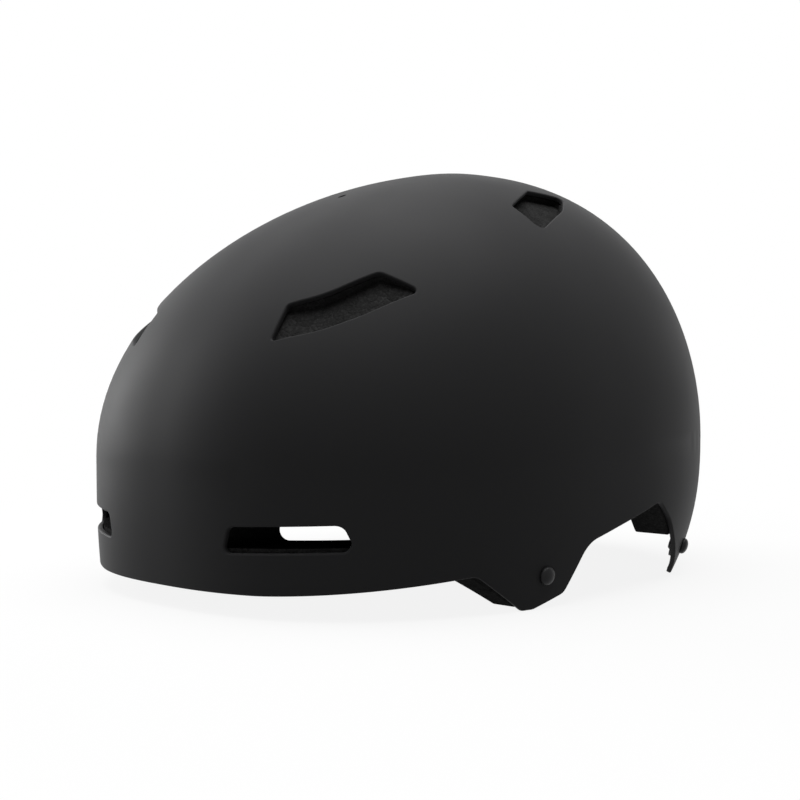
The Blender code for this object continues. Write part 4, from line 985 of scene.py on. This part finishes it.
def make_pad(name, outline, seat, full, seams):
    """Sculpted pad over a flat outline: seat(points, height) gives its place on what carries it."""
    loop = even_steps(outline, PAD_STEP)
    low, high = loop.min(0), loop.max(0)
    across = np.arange(low[0], high[0], PAD_STEP)
    along = np.arange(low[1], high[1], PAD_STEP * PAD_ROW_SHARE)
    inner = np.array([(x + (k % 2) * PAD_STEP / 2, y) for k, y in enumerate(along) for x in across])
    inner = inner[inside_loops(inner, [loop])]
    inner = inner[edge_distance(inner, loop) > PAD_EDGE_SHARE * PAD_STEP]
    flat = np.vstack([loop, inner])
    edges = ring_edges(0, len(loop))
    triangles = filled(flat, edges, [loop])
    top = seat(flat, pad_height(flat, loop, full, seams))
    bottom = seat(flat, np.zeros(len(flat)))
    total = len(flat)
    faces = [tuple(t) for t in triangles] + [tuple(t[::-1] + total) for t in triangles]
    faces += [(k, nxt, nxt + total, k + total) for k, nxt in edges]
    item = mesh_object(name, np.vstack([top, bottom]), faces)
    measure = item.data.uv_layers.new(name="measure")
    corners = np.empty(len(item.data.loops), int)
    item.data.loops.foreach_get("vertex_index", corners)
    measure.data.foreach_set("uv", np.vstack([flat, flat])[corners].ravel())
    cleaned(item.data)
    return smooth_by_angle(item, PAD_SHARP)


def box_outline(x_low, x_high, y_low, y_high, radius):
    return rounded(((x_low, y_low, radius), (x_high, y_low, radius), (x_high, y_high, radius),
                    (x_low, y_high, radius)))


def cavity_seat(way, axes):
    """Seat on the head cavity's wall for flat points on a plane through the helmet's middle."""
    def seat(points, height):
        start = np.zeros((len(points), 3))
        start[:, axes] = points
        return onto_cavity(start, np.array(way, float), -LINER_GAP - height)
    return seat


def wing_seat(points, height):
    """Seat on a toothed arm, which follows the cradle's oval."""
    inset = WING_INSET + WING_THICKNESS + LINER_GAP + height
    half = CAVITY_HALF_WIDTH + CAVITY_FLARE - inset
    rear = CAVITY_REAR + CAVITY_FLARE - inset
    left = np.maximum(1.0 - (np.abs(points[:, 0]) / half) ** CAVITY_POWER, 0.0)
    return np.column_stack([points[:, 0], rear * left ** (1.0 / CAVITY_POWER), points[:, 1]])


def pad_table():
    """Name, node, body, outline, seat, full height and quilting seams of every pad."""
    inner, outer = WING_INNER_X + WING_ROOT_WIDTH + WING_PAD_MARGIN, WING_OUTER_X - WING_PAD_MARGIN
    low, high = BROW_HEIGHT + WING_LOW + WING_PAD_MARGIN, BROW_HEIGHT + WING_HIGH - WING_PAD_MARGIN
    for label, way, axes, limits, corner, seams in cavity_pads():
        yield (kind_name(label, "cushion"), kind_name(label, "pad"), HELMET, box_outline(*limits, corner),
               cavity_seat(way, axes), PAD_FULL, seams)
        if label.startswith("side"):
            ends = sorted((way[0] * inner, way[0] * outer))
            wing = label.replace("side", "wing")
            yield (kind_name(wing, "cushion"), kind_name(wing, "pad"), wing,
                   box_outline(*ends, low, high, WING_CORNER), wing_seat, WING_PAD_FULL, [])
    nape_low, nape_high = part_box("nape_pad")

    def nape_seat(points, height):
        return np.column_stack([points[:, 0], nape_high[1] - height, points[:, 1]])

    outline = box_outline(nape_low[0], nape_high[0], nape_low[2], nape_high[2], TRAY_CORNER)
    yield "nape_cushion", "nape_pad", "yoke", outline, nape_seat, WING_PAD_FULL, []


def node_maker(tree):
    """Function that adds a node to a tree, with links to its inputs and settings by name."""
    def node(kind, links=(), **values):
        item = tree.nodes.new(kind)
        for key, value in values.items():
            if key in item.inputs:
                item.inputs[key].default_value = value
            else:
                setattr(item, key, value)
        for socket, source in links:
            tree.links.new(source, item.inputs[socket])
        return item
    return node


def path_group(name, inputs):
    """Geometry Nodes group that works on a path: its inputs, path, node maker and last step."""
    group = bpy.data.node_groups.new(name, "GeometryNodeTree")
    for label, kind in (("Path", "Geometry"), ("Material", "Material"), *inputs):
        group.interface.new_socket(label, in_out="INPUT", socket_type="NodeSocket" + kind)
    group.interface.new_socket("Geometry", in_out="OUTPUT", socket_type="NodeSocketGeometry")
    node = node_maker(group)
    given = node("NodeGroupInput").outputs
    path = node("GeometryNodeMeshToCurve", [("Mesh", given["Path"])]).outputs["Curve"]

    def dyed(source):
        smooth = node("GeometryNodeSetShadeSmooth", [("Geometry", source)]).outputs["Geometry"]
        last = node("GeometryNodeSetMaterial", [("Geometry", smooth), ("Material", given["Material"])])
        node("NodeGroupOutput", [("Geometry", last.outputs["Geometry"])])
        return group

    return given, path, node, dyed


def hem_group():
    """Round binding along a pad's hem."""
    given, path, node, dyed = path_group("pad_binding", [("Radius", "Float")])
    ring = node("GeometryNodeCurvePrimitiveCircle", [("Radius", given["Radius"])], Resolution=10)
    tube = node("GeometryNodeCurveToMesh", [("Curve", path), ("Profile Curve", ring.outputs["Curve"])])
    return dyed(tube.outputs["Mesh"])


def stitch_group():
    """Row of stitches along a pad's groove."""
    given, path, node, dyed = path_group("pad_stitches", [("Step", "Float"), ("Length", "Float")])
    even = node("GeometryNodeResampleCurve", [("Curve", path), ("Length", given["Step"])], mode="LENGTH")
    along = node("GeometryNodeInputTangent").outputs["Tangent"]
    turn = node("FunctionNodeAlignRotationToVector", [("Vector", along)], axis="X")
    bead = node("GeometryNodeMeshUVSphere", Segments=10, Rings=8, Radius=0.5)
    size = node("ShaderNodeCombineXYZ", [("X", given["Length"])], Y=THREAD_WIDTH, Z=THREAD_WIDTH)
    row = node("GeometryNodeInstanceOnPoints", [
        ("Points", even.outputs["Curve"]), ("Instance", bead.outputs["Mesh"]),
        ("Rotation", turn.outputs["Rotation"]), ("Scale", size.outputs["Vector"])])
    real = node("GeometryNodeRealizeInstances", [("Geometry", row.outputs["Instances"])])
    return dyed(real.outputs["Geometry"])


def along_path(name, points, group, values):
    """Object made by a Geometry Nodes group on a closed path."""
    mesh = bpy.data.meshes.new(name)
    mesh.from_pydata(points.tolist(), ring_edges(0, len(points)), [])
    item = linked(name, mesh)
    maker = item.modifiers.new(name, "NODES")
    maker.node_group = group
    names = {socket.name: socket.identifier for socket in group.interface.items_tree
             if socket.in_out == "INPUT"}
    for label, value in values.items():
        maker[names[label]] = value
    return settled(item)


def inset_outline(outline, distance):
    """Smooth closed outline set inwards."""
    loop = even_steps(outline, PAD_STEP)
    inward = unit(tangents(loop))[:, ::-1] * (-1.0, 1.0)
    moved = loop + distance * inward
    return moved if inside_loops(moved[:1], [loop])[0] else loop - distance * inward


def make_pads(cloth, hem_cloth, thread):
    binding, stitches = hem_group(), stitch_group()
    for name, node, body, outline, seat, full, seams in pad_table():
        pad = make_pad(name, outline, seat, full, seams)
        finish_piece(pad, cloth, body, "pad", node)
        loop = even_steps(outline, PAD_STEP)
        hem_path = seat(inset_outline(outline, HEM_RADIUS), np.full(len(loop), HEM_RADIUS))
        hem = along_path(name + "_hem", hem_path, binding, {"Radius": HEM_RADIUS, "Material": hem_cloth})
        finish_piece(hem, hem_cloth, body, "pad")
        groove = inset_outline(outline, PAD_HEM)
        bed = pad_height(groove, loop, full, seams) + STITCH_LIFT * THREAD_WIDTH
        row = along_path(name + "_stitches", seat(groove, bed), stitches,
                         {"Step": STITCH_STEP, "Length": STITCH_LENGTH, "Material": thread})
        finish_piece(row, thread, body, "pad")


def finish_piece(item, shader, body, slot, *nodes):
    item.data.materials.clear()
    item.data.materials.append(shader)
    if nodes:
        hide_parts(*nodes)
    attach(item, body)


def make_dial(name):
    """Fluted dial with eased rims, a shallow dished face and the screw's recess."""
    low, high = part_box("fit_dial")
    front, back = low[1], high[1]
    turn = np.linspace(0.0, 2 * math.pi, DIAL_FLUTE_POINTS * DIAL_FLUTES, endpoint=False)
    flute = DIAL_FLUTE_DEPTH * (0.5 * (1.0 + np.cos(DIAL_FLUTES * turn))) ** DIAL_FLUTE_POWER
    bed, recess, bore = back - SCREW_SINK - LINER_GAP, SCREW_HEAD_RADIUS + LINER_GAP, SHAFT_RADIUS + LINER_GAP
    rings = [(0.0, bed), (recess, bed), (recess, back - DIAL_DISH - RECESS_EDGE),
             (recess + RECESS_BEVEL, back - DIAL_DISH)]
    rings += [(share * DIAL_RADIUS, back - dish * DIAL_DISH, fluted) for share, dish, fluted in DIAL_FACE]
    arc = np.linspace(0.0, math.pi / 2, DIAL_EASE_POINTS)
    for end, ease, angles in ((back, -DIAL_EASE, arc), (front, DIAL_EASE, arc[::-1])):
        rings += [(DIAL_RADIUS - DIAL_EASE * (1.0 - math.sin(angle)), end + ease * (1.0 - math.cos(angle)),
                   1.0) for angle in angles]
    rings += [(DIAL_HUB_RADIUS, front), (bore, front), (bore, front + DIAL_SOCKET_DEPTH),
              (0.0, front + DIAL_SOCKET_DEPTH)]
    return lathe(name, rings, (0.0, 0.0, (low[2] + high[2]) / 2), (0, 1, 0), DIAL_SHARP, flute)


def camera():
    data = bpy.data.cameras.new("camera")
    data.sensor_width = CAMERA_SENSOR
    data.lens = CAMERA_LENS
    data.clip_start = CAMERA_NEAR
    look = CAMERA_LOOK.normalized()
    right = look.cross(Vector((0.0, 0.0, 1.0))).normalized()
    item = linked("camera", data)
    item.matrix_world = axes_frame(right, right.cross(look), -look, CAMERA_PLACE)
    bpy.context.scene.camera = item


def shader_nodes(name, uv_map=None):
    """New material: itself, a node maker, a texture maker, and a function that ends its shader."""
    shader = bpy.data.materials.new(name)
    shader.use_nodes = True
    tree = shader.node_tree
    surface = tree.nodes["Principled BSDF"]
    node = node_maker(tree)

    def texture(kind, **values):
        place = (node("ShaderNodeUVMap", uv_map=uv_map).outputs["UV"] if uv_map
                 else node("ShaderNodeTexCoord").outputs["Object"])
        return node("ShaderNodeTex" + kind, [("Vector", place)], **values).outputs

    def wire(links, **values):
        for socket, source in links.items():
            tree.links.new(source, surface.inputs[socket])
        for socket, value in values.items():
            surface.inputs[socket.replace("_", " ")].default_value = value
        return shader

    return shader, node, texture, wire


def bumped(node, height, under=(), strength=1.0, distance=0.0, invert=False):
    return node("ShaderNodeBump", [("Height", height), *under], Strength=strength, Distance=distance,
                invert=invert).outputs["Normal"]


# Colour made darker or lighter by a share; it carries the painted shade and painted light of the yarn and
# hook textures.
def shaded(colour, share):
    return tuple(share * part for part in colour)


def ramp_node(node, source, stops):
    ramp = node("ShaderNodeValToRGB", [("Fac", source)])
    elements = ramp.color_ramp.elements
    while len(elements) < len(stops):
        elements.new(0.5)
    for element, (place, value) in zip(elements, stops):
        element.position = place
        element.color = (*value, 1.0) if isinstance(value, tuple) else (value, value, value, 1.0)
    return ramp.outputs["Color"]


def moulded_material(name):
    """Moulded plastic: an even colour with a fine spark-eroded grain."""
    colour, roughness, grain_size, grain_height, gloss = FINISHES[name]
    _, node, texture, wire = shader_nodes(name)
    grain = texture("Noise", Scale=1.0 / grain_size, Detail=3.0)
    patch = texture("Noise", Scale=14.0, Detail=2.0)
    swing = ramp_node(node, patch["Fac"],
                      ((0.3, roughness - ROUGHNESS_SWING), (0.7, roughness + ROUGHNESS_SWING)))
    normal = bumped(node, grain["Fac"], strength=1.0, distance=grain_height)
    return wire({"Roughness": swing, "Normal": normal},
                Base_Color=(*colour, 1.0), Specular_IOR_Level=gloss)


def foam_material(name):
    """Expanded bead foam: pressed beads a few millimetres wide with paler specks."""
    _, node, texture, wire = shader_nodes(name)
    edges = texture("Voronoi", feature="DISTANCE_TO_EDGE", Scale=1.0 / BEAD_SIZE)
    beads = texture("Voronoi", Scale=1.0 / BEAD_SIZE)
    specks = texture("Noise", Scale=1.0 / SPECK_SIZE, Detail=4.0, Roughness=0.7)["Fac"]
    seam = ramp_node(node, edges["Distance"], ((0.0, 0.0), (0.16, 1.0)))
    tone = ramp_node(node, specks, FOAM_TONES)
    shade = ramp_node(node, beads["Color"], ((0.0, 0.8), (1.0, 1.2)))
    mixed = node("ShaderNodeMix", [(6, tone), (7, shade)], data_type="RGBA", blend_type="MULTIPLY",
                 Factor=1.0)
    beaded = bumped(node, seam, strength=0.7, distance=0.00025)
    rough = bumped(node, specks, [("Normal", beaded)], strength=0.6, distance=0.0002)
    return wire({"Base Color": mixed.outputs[2], "Normal": rough}, Roughness=0.75, Specular_IOR_Level=0.0)


def cloth_material(name, colour):
    """Knitted lining: two crossed rows of yarn on the pad's own measure, coloured with painted shade between
    the yarns and painted light on their crowns.
    """
    _, node, texture, wire = shader_nodes(name, "measure")
    rows = texture("Wave", wave_type="BANDS", bands_direction="DIAGONAL", Scale=ROW_SCALE / YARN_STEP,
                   Distortion=1.2, **{"Detail Scale": 3.0})
    columns = texture("Wave", wave_type="BANDS", bands_direction="X", Scale=COLUMN_SCALE / YARN_STEP,
                      Distortion=0.6)
    yarn = node("ShaderNodeMath", [(0, rows["Fac"]), (1, columns["Fac"])],
                operation="MULTIPLY").outputs["Value"]
    # The yarn height also sets the colour: painted shade in the gaps between yarns, painted light on the
    # yarns' crowns.
    tone = ramp_node(node, yarn, ((0.0, shaded(colour, 0.45)), (0.8, shaded(colour, 1.25))))
    normal = bumped(node, yarn, strength=0.8, distance=0.0003)
    return wire({"Base Color": tone, "Normal": normal}, Roughness=0.95, Sheen_Weight=0.15)


def hook_material(name, colour):
    """Hook tape: close rows of small hooks, coloured with painted light on the hook tips and painted shade
    between them.
    """
    _, node, texture, wire = shader_nodes(name)
    hooks = texture("Voronoi", Scale=1100.0)["Distance"]
    # The colour follows the hooks' relief: painted light on the tips, painted shade in the hollows between
    # them.
    tone = ramp_node(node, hooks, ((0.0, shaded(colour, 1.6)), (0.7, shaded(colour, 0.4))))
    normal = bumped(node, hooks, strength=0.8, distance=0.0005, invert=True)
    return wire({"Base Color": tone, "Normal": normal}, Roughness=0.8)


def by_ray(node, as_light, seen, links=()):
    """One level for the rays that only carry light, another for those that show the surroundings."""
    path = node("ShaderNodeLightPath").outputs
    shown = path["Is Camera Ray"]
    for name in ("Is Glossy Ray", "Is Transmission Ray"):
        shown = node("ShaderNodeMath", [(0, shown), (1, path[name])], operation="MAXIMUM").outputs["Value"]
    level = node("ShaderNodeMapRange", [("Value", shown), *links], **{"To Min": as_light, "To Max": seen})
    return level.outputs["Result"]


def white_world():
    """White where it is seen and dimmer as a source of light."""
    world = bpy.data.worlds.new("studio")
    bpy.context.scene.world = world
    world.use_nodes = True
    tree = world.node_tree
    background = tree.nodes["Background"]
    background.inputs["Color"].default_value = (1.0, 1.0, 1.0, 1.0)
    tree.links.new(by_ray(node_maker(tree), AMBIENT_LEVEL, 1.0), background.inputs["Strength"])


def floor_material(name):
    """Pale floor: fades into the white surroundings, fills weakly from below, clear from underneath."""
    shader, node, _, _ = shader_nodes(name)
    tree = shader.node_tree
    place = node("ShaderNodeTexCoord").outputs["Object"]
    reach = node("ShaderNodeVectorMath", [(0, place)], operation="LENGTH").outputs["Value"]
    white = node("ShaderNodeMapRange", [("Value", reach)], interpolation_type="SMOOTHSTEP",
                 **{"From Min": FLOOR_FADE_START, "From Max": FLOOR_FADE_END,
                    "To Min": FLOOR_WHITE_NEAR, "To Max": 1.0}).outputs["Result"]
    paint = node("ShaderNodeBsdfDiffuse", [("Color", by_ray(node, FLOOR_TONE_AS_LIGHT, FLOOR_TONE_SEEN))])
    glow = node("ShaderNodeEmission", Strength=1.0)
    glowing = by_ray(node, FLOOR_FILL, 1.0, [("To Max", white)])
    top = node("ShaderNodeMixShader", [("Fac", glowing), (1, paint.outputs["BSDF"]),
                                       (2, glow.outputs["Emission"])])
    clear = node("ShaderNodeBsdfTransparent").outputs["BSDF"]
    under = node("ShaderNodeNewGeometry").outputs["Backfacing"]
    both = node("ShaderNodeMixShader", [("Fac", under), (1, top.outputs["Shader"]), (2, clear)])
    tree.links.new(both.outputs["Shader"], tree.nodes["Material Output"].inputs["Surface"])
    return shader


def make_floor():
    half = FLOOR_HALF_SIZE
    corners = [(-half, -half, 0.0), (half, -half, 0.0), (half, half, 0.0), (-half, half, 0.0)]
    floor = mesh_object("studio_floor", corners, [range(4)])
    floor.data.materials.append(floor_material("floor_white"))


def soft_lamp(name, place, size, power):
    """Square soft box aimed at the middle of the helmet."""
    data = bpy.data.lights.new(name, "AREA")
    data.size = size
    data.energy = power
    lamp = linked(name, data)
    lamp.location = place
    lamp.rotation_euler = (LAMP_AIM - Vector(place)).to_track_quat("-Z", "Y").to_euler()
    lamp.visible_camera = False


def studio():
    """White surroundings, a pale floor that keeps a soft shadow, and soft lamps."""
    bpy.context.scene.view_settings.view_transform = "Standard"
    white_world()
    make_floor()
    for lamp in LAMPS:
        soft_lamp(*lamp)


def dress_helmet():
    plastic, metal = moulded_material("cradle_plastic"), moulded_material("rivet_black")
    finish_piece(make_shell(), moulded_material("shell_black"), HELMET, "shell", "outer_shell")
    finish_piece(make_liner(), foam_material("bead_foam"), HELMET, "foam", "eps_liner")
    for label, place in rivet_places():
        finish_piece(make_rivet("rivet_" + label, place), metal, HELMET, "metal", "strap_rivet_" + label)
        finish_piece(make_washer("washer_" + label, place), metal, HELMET, "metal", "rivet_washer_" + label)
    make_pads(cloth_material("pad_knit", PAD_COLOUR), moulded_material("pad_binding_cloth"),
              moulded_material("pad_thread"))
    finish_piece(make_dial("fluted_dial"), plastic, "dial", "plastic", "fit_dial")
    for node, body, width in MOULDED_NODES:
        finish_piece(refined(node + "_moulded", node, width), plastic, body, "plastic", node)
    finish_piece(refined("dial_screw_turned", "dial_screw", SCREW_EASE), metal, "dial", "metal", "dial_screw")
    hooks = hook_material("hook_tape", HOOK_COLOUR)
    for label, *_ in cavity_pads():
        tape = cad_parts[kind_name(label, "patch")]
        tape.data.materials.clear()
        tape.data.materials.append(hooks)


dress_helmet()
camera()
studio()
